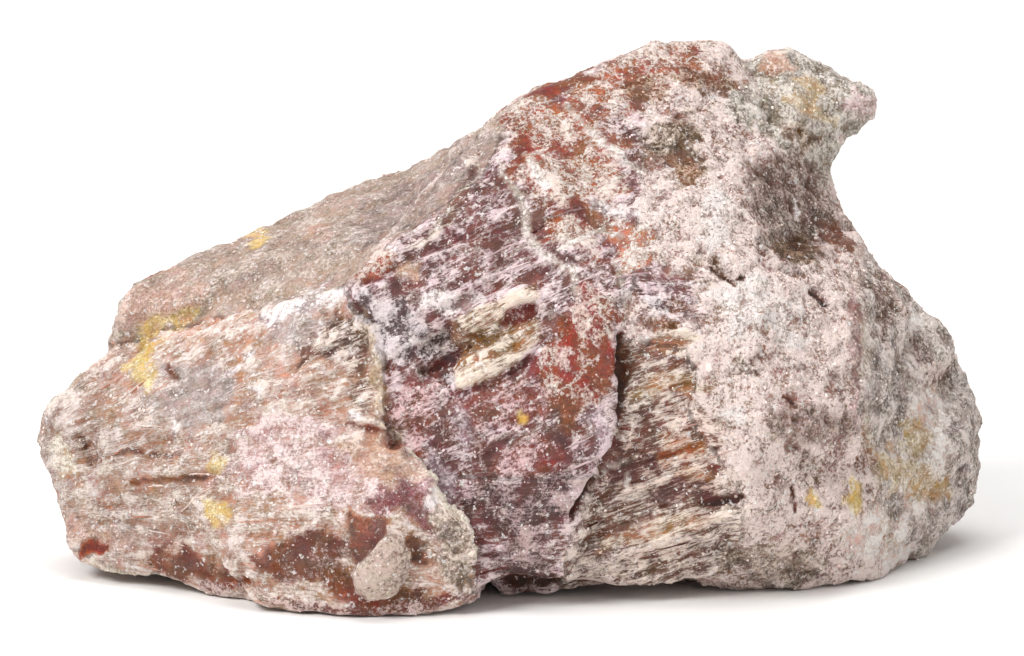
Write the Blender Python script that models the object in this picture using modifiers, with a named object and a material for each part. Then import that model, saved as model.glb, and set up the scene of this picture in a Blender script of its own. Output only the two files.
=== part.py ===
"""A rough piece of soapstone, about 95 mm long: one broken, fibrous stone with a horn at its top right,
a crest that runs down to the left, a long left lobe and a foot in front. It lies on a few flat spots."""

import math

import bmesh
import bpy
import numpy as np
from mathutils import Vector, noise

MM = 0.001

# The stone is set out in a frame that leans back. A point in it is (across, up, out) in mm: across runs
# along the stone's length, up rises along its front and out comes forward. The outline is as the eye sees it
# from EYE_DISTANCE away, so a form that stands out is drawn in a little towards the middle.
LEAN = math.radians(12)
EYE_DISTANCE = 800

# The ground lies this far, in mm, from the middle of the leaning frame. It cuts the lowest points flat.
GROUND = -24.1

# The skin over the blocks: the size of its cells in mm, and how often its corners are worn down.
SKIN_CELL = 0.85
WEAR_PASSES = 4

TRIANGLES = 9000
# An edge shorter than this, in mm, is closed up after the ground has cut the stone.
LEAST_EDGE = 0.02

STONE_COLOUR = (0.56, 0.38, 0.33, 1)
STONE_ROUGHNESS = 0.62

# The convex blocks that make up the stone. Each is the hull of its corners.
BLOCKS = {
    # The bulky right half: a pale crust in front, a flat top, and a back that falls steeply.
    "right_mass": [
        (8, 20, 6), (13, 12, 12), (24, 3, 14.4), (30, 2, 9.5), (35, 0, 6), (35.5, -11, 9.5), (25, -9, 18.2),
        (20, -5, 18), (24, -18, 16.7), (33, -21, 9), (10, 0, 16.9), (11.6, -10, 17.4), (8, -18, 16),
        (35, -26, 4), (27, -26.6, 7.5), (22, -25.2, 10), (11, -25.4, 13), (5, -22, 14), (5.2, -25.6, 12.5),
        (13.4, 28.6, -4), (17.5, 29, -5.5), (20.8, 29, -6.5), (23, 27.9, -7.5), (26, 25.3, -10),
        (31, 14.2, -7.5), (37, 5.8, -8),
        (10, 26, -12), (19, 25.5, -15), (29.6, 15, -16), (36, 3, -19), (38, -14, -20), (35, -21.5, -17),
        (6, -19.6, -21), (6, 2, -24), (16, 12, -22), (4, 17, -19),
    ],
    # The flank that turns away to the right.
    "right_flank": [
        (34.6, 3, 4.5), (35.2, -8, 7.5), (36.2, -20, 5), (36, -25.6, 3), (41, -23.7, -6), (41.6, -21.6, -6),
        (37, 5.4, -7), (39.9, 3.6, -7.5), (43.3, 1, -9), (45.4, -2.4, -11), (46.6, -7, -12.5),
        (47.3, -11, -13.5), (47.5, -14.6, -14), (46.9, -18.2, -13), (44.2, -20.6, -10),
        (40, 1, -18), (44, -8, -20), (42.5, -15, -20), (37, -20.3, -18), (34, 6, -14),
    ],
    # The horn that juts out at the top right, over a hollow.
    "horn": [
        (24.6, 27.7, -9.5), (26.8, 28.7, -10.5), (29, 27.8, -11), (31.2, 26.2, -11.5), (34, 25.1, -12),
        (35.8, 24.5, -12.5), (36.7, 23.2, -13), (36.5, 22.2, -13), (35.2, 21, -12.5), (33.6, 19.8, -11.5),
        (32, 17.8, -10), (31.5, 14.8, -9), (27.5, 19, -3), (27.5, 24.2, -5.5),
        (27, 26, -17), (33, 23.6, -17), (34.2, 21, -16), (24, 20, -18),
    ],
    # The central ridge: its crest runs down to the left, and its spine bulges out at the front.
    "ridge": [
        (0, 22.9, 1.5), (2.6, 24, 1), (6.5, 24.6, -1), (10.2, 26.2, -3), (13.4, 28.4, -4),
        (-1.4, 18.2, 5.5), (-4.2, 13.8, 7.8), (-8.4, 10.5, 9.4), (-12.2, 7.6, 11), (-17.2, 4, 12.5),
        (2, 18, 8.5), (6, 10, 13.5), (9.2, 3, 17.2), (10.8, -3, 18.6), (11, -8, 18.9), (10.4, -12, 18.8),
        (8.6, -15, 18.5), (6, -18.5, 17.8), (5.4, -25, 16),
        (-13.8, -0.5, 13), (-13, -4, 14), (-12.8, -11, 15), (-8, -18, 16), (-4, -25.4, 16),
        (0.2, 22.5, -12), (10, 26, -12), (-12, 5, -6), (-12, -10, -6), (-4, -20, -10), (6, -20, -10),
        (10, 0, -10),
    ],
    # The long lobe that runs out to the left.
    "left_lobe": [
        (-47.6, -11.8, 0), (-47.1, -9.2, 0), (-45.5, -6.3, -1), (-43.6, -4.5, -1), (-40.3, -2.1, -2),
        (-29.7, 2, 3), (-21.2, 3.2, 7.5), (-16.7, 4, 11), (-13.5, 0, 13), (-12.8, -6, 14), (-12.8, -11, 15),
        (-21, -7, 14), (-31, -12, 10), (-40, -13, 5.5), (-43.2, -17.7, 3), (-44, -21, 3), (-43.6, -23.8, 3),
        (-37.2, -25.3, 5), (-27.6, -27.1, 9), (-26.2, -27.5, 12), (-20, -20, 17), (-12, -24, 17),
        (-45.6, -13, -9), (-42.6, -20, -10), (-27, -21.2, -14), (-13, -20, -17), (-12, 0, -8),
        (-30, -2, -12), (-40, -5, -9),
    ],
    # The long slope behind the lobe, which climbs to the right.
    "shelf": [
        (-40.4, 1, -5), (-40.4, -1.8, -5), (-39.2, 3.9, -7), (-35.4, 5.4, -9), (-31.4, 7.1, -11),
        (-25.8, 10.3, -12), (-21.2, 12.4, -13.5), (-16.2, 14.2, -14.5), (-9.4, 16.3, -15.5),
        (-29.7, 1.5, 1.5), (-17, 3.7, 9), (-8.4, 10, 7), (-8, 12, 2),
        (-38.6, -6, -15), (-30, 0, -21), (-16, 8, -24), (-6, 10, -24), (-36, -16, -13), (-20, -19.4, -19),
        (8, -18.6, -20), (4, 4, -23),
    ],
    # Where that slope steepens below the peak.
    "shelf_top": [
        (-9.4, 16.3, -15.5), (-6.8, 18.1, -15), (-4, 19.6, -14), (-1, 21.4, -12), (0.2, 22.8, -7),
        (-17, 3.7, 9), (-8.4, 10.2, 7.5), (-1.5, 17.6, 4.5), (0.3, 22, 0.5), (6, 12, -4),
        (-8, 8, -24), (6, 17, -18.5), (4, 0, -23), (-6, 4, -22),
    ],
    # The back below the peak.
    "peak_back": [
        (-3, 19.6, -13.5), (0.5, 22.4, -12.5), (6, 24.4, -13), (12, 27, -11), (20, 26.4, -13), (26, 22, -17),
        (16, 19, -19.5), (5, 18.5, -19.5), (-4, 14, -20.5), (-6, 6, -24), (10, 4, -25), (22, 6, -23),
        (8, 0, -10),
    ],
    # The foot that stands out in front, left of the middle.
    "foot": [
        (-12.7, -10.7, 15.5), (-8.7, -15.2, 17.2), (-6.6, -17.2, 18), (-4.1, -20.2, 18.2),
        (-2.8, -24.2, 17.6), (-3.4, -27.3, 16.2), (-8.2, -29.3, 17), (-12, -29.6, 17.6),
        (-16.2, -29.5, 17.8), (-21.2, -28.9, 17), (-26, -28.4, 15.6), (-27.4, -26.4, 14.6),
        (-23, -14, 14.8), (-17, -9.5, 15.6),
        (-13.2, -19, 19.6), (-17, -23, 19.6), (-27, -22, 15.4), (-33, -18, 11), (-11, -14, 18),
        (-26, -22, -2), (-6, -22, -2), (-14, -12, 0),
    ],
    # A lower layer that shows in the shadow below the front edge.
    "lower_layer": [
        (-1, -27.2, 11), (3.4, -26.9, 10.5), (8, -25.8, 10), (14, -22, 9), (-4, -22, 10), (-1.2, -24, 0),
        (14, -24, 0), (6, -20, 4),
    ],
    # The mass that carries the stone behind and below.
    "under_back": [
        (-28, -22, -14), (-10, -20.6, -19), (12, -20.6, -19), (30, -21.4, -17), (40, -21.8, -12),
        (34, -24.5, 2), (4, -25, 6), (-20, -25.8, 9), (-36, -21.6, -6), (-20, -10, -17), (0, -8, -23),
        (30, -10, -20), (0, -14, 4), (24, -14, 2),
    ],
}

# Convex bites out of the blocks. Each is the hull of its corners.
BITES = {
    # The hollow under the horn, with its sharp lip at the lower left.
    "hollow": [
        (21, 20, 18), (33, 22, 14), (42, 12, 14), (36, 4.6, 18), (27, 4, 20), (20.5, 12, 20),
        (22.8, 12.4, 7), (24.8, 8.6, 7), (26.4, 6.4, 6.5), (29, 6, 5), (31.4, 6.4, 3),
        (24.6, 17.4, 1), (28, 19, -3), (32.8, 17, -7), (33.8, 10.6, -7),
        (27, 13, -0.5), (28.6, 9.2, 0), (31, 9, -2.5), (30.4, 14.4, -5),
    ],
}

# The sides that strokes are drawn on: across, up and outward. The front's strokes use the leaning frame.
SIDES = {
    "back": (Vector((-1, 0, 0)), Vector((0, 0, 1)), Vector((0, 1, 0))),
    "left": (Vector((0, -1, 0)), Vector((0, 0, 1)), Vector((-1, 0, 0))),
    "right": (Vector((0, 1, 0)), Vector((0, 0, 1)), Vector((1, 0, 0))),
    "under": (Vector((1, 0, 0)), Vector((0, 1, 0)), Vector((0, 0, -1))),
}
# A surface takes none of a side's strokes where it is turned further from it than EDGE_ON, and all of them
# where it faces it better than FACE_ON, as cosines.
EDGE_ON, FACE_ON = 0.05, 0.35

# A ledge or a groove runs out over this share of its line at each end.
RUN_OUT = 0.14

# Ledges: a line with its high side on the left as it runs, the height of the step, and how far the high and
# the low side take to fade back into the surface, all in mm.
LEDGES = {
    "front": [
        # The spine stands over the fibres on its right.
        ([(5, -26), (5.8, -22), (7, -18), (9, -15), (10.8, -11), (11.3, -7), (11.1, -3), (9.8, 2)],
         0.6, 4, 4),
        # The ragged edge of the foot stands over the middle.
        ([(-3.3, -26), (-4.6, -20.4), (-6.7, -17.2), (-8.7, -15), (-10.7, -12.4), (-12.9, -11)], 1.5, 6, 3),
        # The end of the crest overhangs the left lobe.
        ([(-17.6, 4.6), (-15.4, 1.8), (-13.8, -0.4), (-13, -3.4)], 1.8, 5, 3),
        # The cut end of the lobe's fibres stands a little over the middle.
        ([(-12.8, -10.6), (-12.8, -7), (-12.9, -3.6)], 0.9, 4, 3),
        # The pale crust laps over the fibres.
        ([(10.8, -0.6), (13, -0.7), (17.6, -2), (18.6, -5), (17.6, -8.2), (18.8, -11.2), (21.6, -14.2),
          (23.4, -17.4)], 1.2, 5, 3),
        # The lower fibres step out again below the slit.
        ([(23.6, -17.8), (18, -18.6), (13, -19.6), (8, -20)], 1.1, 3, 2.5),
        # The crust ends in an edge along the right flank.
        ([(35, -18), (35.4, -12), (35.2, -6), (34.8, 0), (34.6, 4)], 0.9, 3, 4),
        # A step where the slope behind meets the lobe.
        ([(-17.4, 3.8), (-22, 2.8), (-30, 1.2), (-36, -0.6), (-40, -2.4)], 1.1, 4, 3),
        # Flat layers broken off at the lower left of the middle.
        ([(2, -23.5), (-2.4, -20), (-3.6, -16.4), (-6.4, -13)], 0.7, 3, 2),
        # The crust breaks down to the corner of the right flank.
        ([(27, -20.8), (33, -20), (38, -20.4), (42, -21.2)], 0.8, 4, 3),
        # Blocky steps of the crest.
        ([(12, 26), (8, 20), (9, 13), (13, 8)], 0.5, 3, 3),
        ([(1, 9), (5, 6), (9, 7), (12, 3)], 0.5, 2.5, 2.5),
    ],
    "back": [
        ([(-40, 5), (-28, 10), (-12, 15), (0, 26), (6, 40)], 1.8, 8, 6),
        ([(-14, 0), (-8, 12), (4, 21), (20, 27)], 1.4, 7, 5),
        ([(14, 3), (22, 10), (34, 15), (44, 16)], 1.3, 6, 4),
        ([(-24, 42), (-16, 34), (-14, 24), (-22, 16)], 1.2, 6, 5),
    ],
    "left": [([(-18, 7), (-6, 11), (4, 10), (14, 13)], 0.9, 4, 3)],
    "right": [
        ([(-18, 16), (-6, 18), (4, 25), (12, 27)], 1.3, 5, 4),
        ([(-16, 5), (-8, 9), (2, 8), (12, 13)], 1.2, 5, 4),
        ([(-12, 26), (-8, 16), (-10, 6)], 0.9, 4, 5),
    ],
    "under": [([(-36, 8), (-18, -6), (4, -2), (20, -14), (36, -10)], 1.2, 7, 5)],
}

# Grooves and, with a depth below nothing, ribs: a line, the depth and the half width.
GROOVES = {
    "front": [
        # The valley with yellow crumbs between the slope and the lobe.
        ([(-40.5, -2.4), (-36, -0.6), (-30, 0.6), (-24, 1.8)], 0.9, 1.5),
        # Folds that follow the fibres of the left lobe.
        ([(-41, -16.6), (-35, -16.4), (-28, -15.4)], 0.4, 1.1),
        ([(-38, -11.4), (-34, -11.6), (-29, -11)], 0.3, 1.2),
        ([(-38, -20.6), (-30, -20.4), (-22, -20)], 0.4, 1.1),
        # The crack down the right side of the spine.
        ([(11.4, -0.6), (11.9, -3.4), (11.8, -6)], 0.7, 0.8),
        # The slit below the fibres.
        ([(18.6, -17.9), (21, -17.3), (23.6, -17)], 1, 0.9),
        # The joint between the middle and the foot.
        ([(-12.4, -11.6), (-9.6, -13), (-7.6, -15.2), (-5.6, -17.4), (-3.6, -20.6)], 0.4, 1.1),
        # The seam behind the horn.
        ([(24.6, 27.6), (25, 24), (27.6, 20)], 0.6, 1.2),
        # The rim of the crest, and a rib down the spine.
        ([(0.3, 22.6), (-1.6, 17.4), (-4.6, 13), (-8.6, 9.8), (-12.6, 7), (-16.6, 4.2)], -0.5, 1.2),
        ([(2.4, 17.6), (5.6, 9), (9, 1.2), (9.4, -8)], -0.4, 2.2),
        # Creases of the lower layers at the front edge.
        ([(-1.5, -24.9), (4, -24.2), (9, -24.6)], 0.6, 0.8),
        ([(13, -22.6), (19, -21.6), (24, -22.4)], 0.5, 0.8),
    ],
    "back": [
        ([(-34, 10), (-18, 14), (-2, 21)], 0.6, 1.4),
        ([(-24, 4), (-6, 10), (10, 16)], 0.5, 1.2),
        ([(10, 8), (24, 13), (38, 15)], 0.5, 1.4),
        ([(-12, 26), (0, 34), (6, 44)], 0.6, 1.3),
    ],
    "right": [([(-16, 12), (-4, 14), (10, 18)], 0.7, 1.3), ([(-4, 24), (-1, 14), (-4, 4)], 0.6, 1.2)],
    "under": [
        ([(-30, 0), (-10, 6), (14, 2), (30, 8)], 1.2, 2.2),
        ([(-20, -12), (0, -8), (24, -14)], 0.9, 1.6),
    ],
}

# Dents and, with a depth below nothing, lumps: the middle, the half width and half height, the turn in
# degrees, and the depth. BOWL is the power that softens a dent's rim: at 1 it would be sharp.
BOWL = 1.4
DENTS = {
    "front": [
        # The dark break below the crest, where bundles of fibre end.
        ((-6.6, -2.4), (4.6, 3), 25, 2.2),
        ((-11, 0.4), (3, 2.4), -40, 0.9),
        # The pit with a pebble at the head of the foot.
        ((-11.8, -10.9), (1.7, 1.4), -20, 1.9),
        # The hole, the knobs and the broken corner at the left end.
        ((-42.6, -12.8), (1.6, 2.6), 20, 1.6),
        ((-39.8, -10.8), (2.4, 1.8), 10, -0.7),
        ((-44.4, -9.8), (1.6, 2.4), 25, -0.5),
        ((-41.6, -17.6), (1.8, 1.4), 0, 0.6),
        ((-42.4, -22.2), (1.8, 0.9), 20, 0.9),
        # Lumps on the slope behind.
        ((-25.8, 5.4), (4.4, 2.4), 12, -0.8),
        ((-31.4, 3), (3, 1.8), 10, -0.8),
        ((-36.2, 2.2), (1.8, 2), 0, -0.6),
        ((-17, 8.6), (4, 2), 24, -0.5),
        ((-9, 11.8), (4, 2), 30, 0.5),
        # Bulges and flats of the ridge.
        ((4.8, -7.6), (3.6, 3.8), 0, -0.6),
        ((8, 0.4), (2.8, 3.6), 10, -0.5),
        ((3.4, 8.8), (4, 3), -50, 0.7),
        ((4.6, 19.6), (4.4, 3), -40, 0.6),
        ((14.6, 16.8), (5, 4), -20, 0.8),
        ((17.8, 24.2), (4, 2.2), 0, -0.5),
        # The pale foot swells forward.
        ((-15, -16), (6, 5), -30, -0.5),
        ((-14.6, -21.4), (3, 2), 50, 0.4),
        # The fibres lie deeper than the spine on their left and the crust on their right.
        ((17, -11.6), (6.6, 10), -8, 0.9),
        # Hollows and swells of the crust.
        ((22, 4.2), (5, 3), -15, 0.6),
        ((27.6, -9.4), (6, 6), 0, -0.5),
        ((25.6, -14.6), (3, 3.4), 0, 0.5),
        ((31.6, -17.8), (3.4, 3), 0, -0.6),
        ((20.6, 11.6), (5, 4), -20, -0.5),
        # The pitted flank on the right.
        ((37.4, 1.6), (2.2, 3), -20, 0.9),
        ((39, -4.4), (2.6, 4), -20, 1),
        ((43.4, -2.8), (2, 2.6), -40, -0.8),
        ((44.4, -12.6), (2.4, 3.6), 0, -0.6),
        ((40, -11.6), (3, 4), 0, 0.7),
        ((41.4, -18.8), (2.6, 2), 0, -0.6),
        # The knob and the waist of the horn.
        ((34.6, 22.8), (2.2, 2.2), 0, -0.5),
        ((30.4, 23.6), (2.6, 2), -30, 0.7),
        ((27.6, 27), (2, 1.6), 0, -0.4),
    ],
    "back": [
        ((-20, 30), (9, 7), 30, 1.6),
        ((6, 12), (8, 5), 20, 1.1),
        ((28, 10), (7, 5), 15, 0.9),
        ((-30, 14), (6, 5), 0, -1),
        ((8, 32), (6, 5), 0, -0.9),
    ],
    "left": [((-4, 8), (5, 3), 0, -0.7), ((8, 14), (4, 3), 0, 0.7)],
    "right": [
        ((-10, 12), (4, 4), 0, 0.9),
        ((-3, 20), (3, 4), -20, -1),
        ((4, 11), (5, 3), 20, -1),
        ((8, 18), (5, 4), 0, 0.8),
        ((2, 32), (4, 5), 0, 0.7),
    ],
    "under": [
        # The hollow that leaves a few flat spots to stand on.
        ((2, 2), (30, 11), 8, 3),
        ((-30, -2), (12, 12), -20, 2),
        ((36, 7), (8, 6), 0, 1.8),
        ((8, 20), (9, 6), 0, 1.2),
    ],
}

# Thin plates that lie on a side: an outline and the thickness. A plate's rim rises over about RIM, in mm.
RIM = 0.6
PLATES = {
    "front": [
        # The pale flake on the foot.
        ([(-15.8, -24.1), (-14.6, -22.9), (-13.6, -21.2), (-11.9, -20.2), (-10.6, -21.7), (-10, -23.4),
          (-11.9, -25.3), (-12.2, -26.8), (-14.6, -27.2), (-15.8, -26)], 1.1),
        # Two bundles of cream fibre.
        ([(-6.6, 0.6), (-4.2, 2), (1.3, 4.8), (2.6, 3.8), (1.8, 2.3), (-1.7, -0.4), (-4.2, -1.7),
          (-5.7, -1.2)], 0.9),
        ([(-5.4, -4.4), (-4.2, -3.4), (2.3, -0.7), (2.8, -2.2), (0.8, -3.4), (-2.2, -5), (-5, -6.2)], 1.2),
    ],
}

# Lumps all over: the size of each in mm, and how far it lifts the surface.
LUMPS = ((13, 0.9), (6, 0.5), (3.2, 0.3))
# Flat chips, as a fresh break leaves: their size in mm, how steeply one can tilt, and the share of its size
# over which it runs out into its neighbours.
CHIP_SIZE = 7
CHIP_TILT = 0.3
CHIP_BORDER = 0.3
# The front and the outline take only this share of them, because their forms are drawn one by one. The rest
# starts where the surface is turned from the front by this much, as cosines.
FRONT_SHARE = 0.3
TURNED_AWAY, TURNED_SIDEWAYS = -0.5, -0.15


def place(across, up, out):
    """The upright point, in mm, of one that is given in the leaning frame."""
    drawn_in = 1 - out / EYE_DISTANCE
    across, up = across * drawn_in, up * drawn_in
    return Vector((
        across,
        up * math.sin(LEAN) - out * math.cos(LEAN),
        up * math.cos(LEAN) + out * math.sin(LEAN),
    ))


def new_object(name, bm, collection):
    """An object in a collection, with what was built in bm as its mesh."""
    mesh = bpy.data.meshes.new(name)
    bm.to_mesh(mesh)
    bm.free()
    made = bpy.data.objects.new(name, mesh)
    collection.objects.link(made)
    return made


def helper(made):
    """Marks a block or a cutter, which isn't part of the stone itself."""
    made.hide_render = True
    made.display_type = "WIRE"
    return made


def hull(name, corners, collection):
    """The closed convex hull of some corners in the leaning frame."""
    bm = bmesh.new()
    for corner in corners:
        bm.verts.new(place(*corner) * MM)
    made = bmesh.ops.convex_hull(bm, input=bm.verts)
    spare = {
        corner
        for corner in made["geom_interior"] + made["geom_unused"]
        if isinstance(corner, bmesh.types.BMVert)
    }
    bmesh.ops.delete(bm, geom=list(spare), context="VERTS")
    bmesh.ops.recalc_face_normals(bm, faces=bm.faces)
    return helper(new_object(name, bm, collection))


def ground_slab(collection):
    """A slab whose top is the ground."""
    length, width, depth = 160, 120, 20
    bm = bmesh.new()
    bmesh.ops.create_cube(bm, size=MM)
    bmesh.ops.scale(bm, vec=(length, width, depth), verts=bm.verts)
    bmesh.ops.translate(bm, vec=Vector((0, 0, GROUND - depth / 2)) * MM, verts=bm.verts)
    return helper(new_object("ground", bm, collection))


def add_boolean(target, other, operation):
    step = target.modifiers.new(other.name, "BOOLEAN")
    step.operation = operation
    step.object = other
    step.solver = "EXACT"


def finished_mesh(source, name):
    """The mesh that an object's modifiers make."""
    bpy.context.view_layer.update()
    graph = bpy.context.evaluated_depsgraph_get()
    mesh = bpy.data.meshes.new_from_object(source.evaluated_get(graph), depsgraph=graph)
    mesh.name = name
    return mesh


def block_out(collection):
    """The blocks joined and bitten, under one even skin with worn corners."""
    first, *others = [hull(name, corners, collection) for name, corners in BLOCKS.items()]
    for other in others:
        add_boolean(first, other, "UNION")
    for name, corners in BITES.items():
        add_boolean(first, hull(name, corners, collection), "DIFFERENCE")
    skin = first.modifiers.new("skin", "REMESH")
    skin.mode = "VOXEL"
    skin.voxel_size = SKIN_CELL * MM
    worn = first.modifiers.new("worn", "SMOOTH")
    worn.iterations = WEAR_PASSES
    return finished_mesh(first, "carved")


def read_mesh(mesh):
    """The points in mm and the normals of a mesh, a row for each vertex."""
    points = np.empty(len(mesh.vertices) * 3)
    mesh.vertices.foreach_get("co", points)
    normals = np.empty(len(mesh.vertices) * 3)
    mesh.vertex_normals.foreach_get("vector", normals)
    return points.reshape(-1, 3) / MM, normals.reshape(-1, 3)


def write_mesh(mesh, points):
    mesh.vertices.foreach_set("co", (points * MM).ravel())
    mesh.update()


def ramp(low, high, value):
    """0 below low and 1 above high, with a smooth rise between."""
    share = np.clip((value - low) / (high - low), 0, 1)
    return share * share * (3 - 2 * share)


def seen_from(side, points, normals):
    """How far across and up a side each point lies, and how much of a stroke it takes there."""
    if side == "front":
        outward = np.array(place(0, 0, 1))
        upward = np.array(place(0, 1, 0))
        drawn_in = 1 - points @ outward / EYE_DISTANCE
        spots = np.stack([points[:, 0], points @ upward], 1) / drawn_in[:, None]
    else:
        across, upward, outward = (np.array(axis) for axis in SIDES[side])
        standing = points - (0, 0, GROUND)
        spots = np.stack([standing @ across, standing @ upward], 1)
    return spots, ramp(EDGE_ON, FACE_ON, normals @ outward)


def nearest_on_line(line, spots):
    """For each spot: its distance from the line, above zero on the line's left, and how far along it is."""
    line = np.array(line, float)
    lengths = np.linalg.norm(np.diff(line, axis=0), axis=1)
    starts = np.concatenate([[0], np.cumsum(lengths)]) / lengths.sum()
    best = np.full(len(spots), np.inf)
    side = np.ones(len(spots))
    along = np.zeros(len(spots))
    for index, (start, end) in enumerate(zip(line[:-1], line[1:])):
        run, offset = end - start, spots - start
        share = np.clip(offset @ run / (run @ run), 0, 1)
        distance = np.linalg.norm(offset - share[:, None] * run, axis=1)
        closer = distance < best
        best[closer] = distance[closer]
        side[closer] = np.where(run[0] * offset[:, 1] > run[1] * offset[:, 0], 1, -1)[closer]
        along[closer] = (starts[index] + share * (starts[index + 1] - starts[index]))[closer]
    return best * side, along


def tapered(along):
    """1 along the middle of a line, and nothing at its ends."""
    return ramp(0, RUN_OUT, along) * ramp(0, RUN_OUT, 1 - along)


def ledge(spots, line, height, high_fade, low_fade):
    """A step up to the left of a line, with its face as steep as the skin can hold."""
    distance, along = nearest_on_line(line, spots)
    fade = np.exp(-np.abs(distance) / np.where(distance > 0, high_fade, low_fade))
    return tapered(along) * height / 2 * fade * np.tanh(distance / SKIN_CELL)


def groove(spots, line, depth, half_width):
    """A round-bottomed furrow along a line."""
    distance, along = nearest_on_line(line, spots)
    return -tapered(along) * depth * np.exp(-((distance / half_width) ** 2))


def dent(spots, middle, half_size, turn, depth):
    """An oval bowl with a soft rim."""
    angle = math.radians(turn)
    offset = spots - middle
    along = (offset[:, 0] * math.cos(angle) + offset[:, 1] * math.sin(angle)) / half_size[0]
    across = (offset[:, 1] * math.cos(angle) - offset[:, 0] * math.sin(angle)) / half_size[1]
    return -depth * np.clip(1 - along**2 - across**2, 0, 1) ** BOWL


def plate(spots, outline, thickness):
    """A flat piece inside an outline, with a steep rim. A spot is inside where a line from it to the right
    meets the outline an odd number of times."""
    outline = np.array(outline, float)
    within = np.zeros(len(spots), bool)
    for start, end in zip(outline, np.roll(outline, -1, axis=0)):
        spans = (start[1] > spots[:, 1]) != (end[1] > spots[:, 1])
        rise = np.where(spans, end[1] - start[1], 1)
        meets = start[0] + (spots[:, 1] - start[1]) * (end[0] - start[0]) / rise
        within ^= spans & (spots[:, 0] < meets)
    distance, _ = nearest_on_line([*outline, outline[0]], spots)
    return thickness * within * np.tanh(np.abs(distance) / RIM)


def carve(points, normals):
    """Draws the ledges, grooves, dents and plates of each side."""
    lift = np.zeros(len(points))
    for side in ("front", *SIDES):
        spots, share = seen_from(side, points, normals)
        for stroke, drawn in ((ledge, LEDGES), (groove, GROOVES), (dent, DENTS), (plate, PLATES)):
            for values in drawn.get(side, ()):
                lift += share * stroke(spots, *values)
    return points + normals * lift[:, None]


def roughen(points, normals):
    """Lumps of a few sizes, and flat chips that each lean their own way."""
    facing_front = ramp(TURNED_AWAY, TURNED_SIDEWAYS, normals @ np.array(place(0, 0, 1)))
    lift = np.zeros(len(points))
    for size, height in LUMPS:
        lift += height * np.array([noise.noise(Vector(point) / size) for point in points])
    for index, (point, normal) in enumerate(zip(points, normals)):
        reach, middles = noise.voronoi(Vector(point) / CHIP_SIZE)
        tilt = (noise.cell_vector(middles[0] * CHIP_SIZE) * 2 - Vector((1, 1, 1))) * CHIP_TILT
        within = min(1, (reach[1] - reach[0]) / CHIP_BORDER)
        offset = Vector(point) - middles[0] * CHIP_SIZE
        lift[index] += within * (offset - offset.project(Vector(normal))).dot(tilt)
    lift *= 1 - (1 - FRONT_SHARE) * facing_front
    return points + normals * lift[:, None]


def set_on_origin(mesh):
    """Closes up tiny edges, and moves the stone so that the origin is the middle of its base."""
    bm = bmesh.new()
    bm.from_mesh(mesh)
    bmesh.ops.triangulate(bm, faces=bm.faces)
    bmesh.ops.dissolve_degenerate(bm, dist=LEAST_EDGE * MM, edges=bm.edges)
    bmesh.ops.triangulate(bm, faces=bm.faces)
    spots = np.array([vert.co for vert in bm.verts])
    low, high = spots.min(axis=0), spots.max(axis=0)
    base = Vector(((low[0] + high[0]) / 2, (low[1] + high[1]) / 2, low[2]))
    bmesh.ops.translate(bm, vec=-base, verts=bm.verts)
    bm.to_mesh(mesh)
    bm.free()
    print("The leaning frame's middle is at", [round(-side / MM, 3) for side in base], "mm")
    print("The stone measures", [round(float(side) / MM, 2) for side in high - low], "mm")


def soapstone_material():
    """Soft stone with a dull, slightly waxy face."""
    made = bpy.data.materials.new("soapstone")
    made.use_nodes = True
    shader = made.node_tree.nodes["Principled BSDF"]
    shader.inputs["Base Color"].default_value = STONE_COLOUR
    shader.inputs["Roughness"].default_value = STONE_ROUGHNESS
    shader.inputs["Metallic"].default_value = 0
    return made


def main():
    for old in list(bpy.data.objects):
        bpy.data.objects.remove(old)
    stone_collection = bpy.data.collections.new("soapstone")
    helpers = bpy.data.collections.new("blocks and cutters")
    bpy.context.scene.collection.children.link(stone_collection)
    bpy.context.scene.collection.children.link(helpers)

    mesh = block_out(helpers)
    write_mesh(mesh, roughen(*read_mesh(mesh)))
    write_mesh(mesh, carve(*read_mesh(mesh)))

    carved = helper(bpy.data.objects.new("carved", mesh))
    helpers.objects.link(carved)
    mesh.calc_loop_triangles()
    fewer = carved.modifiers.new("fewer faces", "DECIMATE")
    fewer.ratio = TRIANGLES / len(mesh.loop_triangles)
    add_boolean(carved, ground_slab(helpers), "DIFFERENCE")

    stone_mesh = finished_mesh(carved, "soapstone")
    set_on_origin(stone_mesh)
    stone = bpy.data.objects.new("soapstone", stone_mesh)
    stone_collection.objects.link(stone)
    stone.data.materials.append(soapstone_material())


main()
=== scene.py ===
# %% [markdown]
# # A piece of raw soapstone, 95 mm long
# The solid of this stone is already packed as a fixed frame: its blocks, ledges, hollow and flat resting
# spot are there, in broad facets. This lesson gives it what the eye reads as soapstone: a fine surface with
# fibres, crusts, cracks and pits, a rust, wine and mauve body under pale talc powder, and loose splinters and
# crumbs. The frame is loaded first, because every later place is measured from it.

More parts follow.
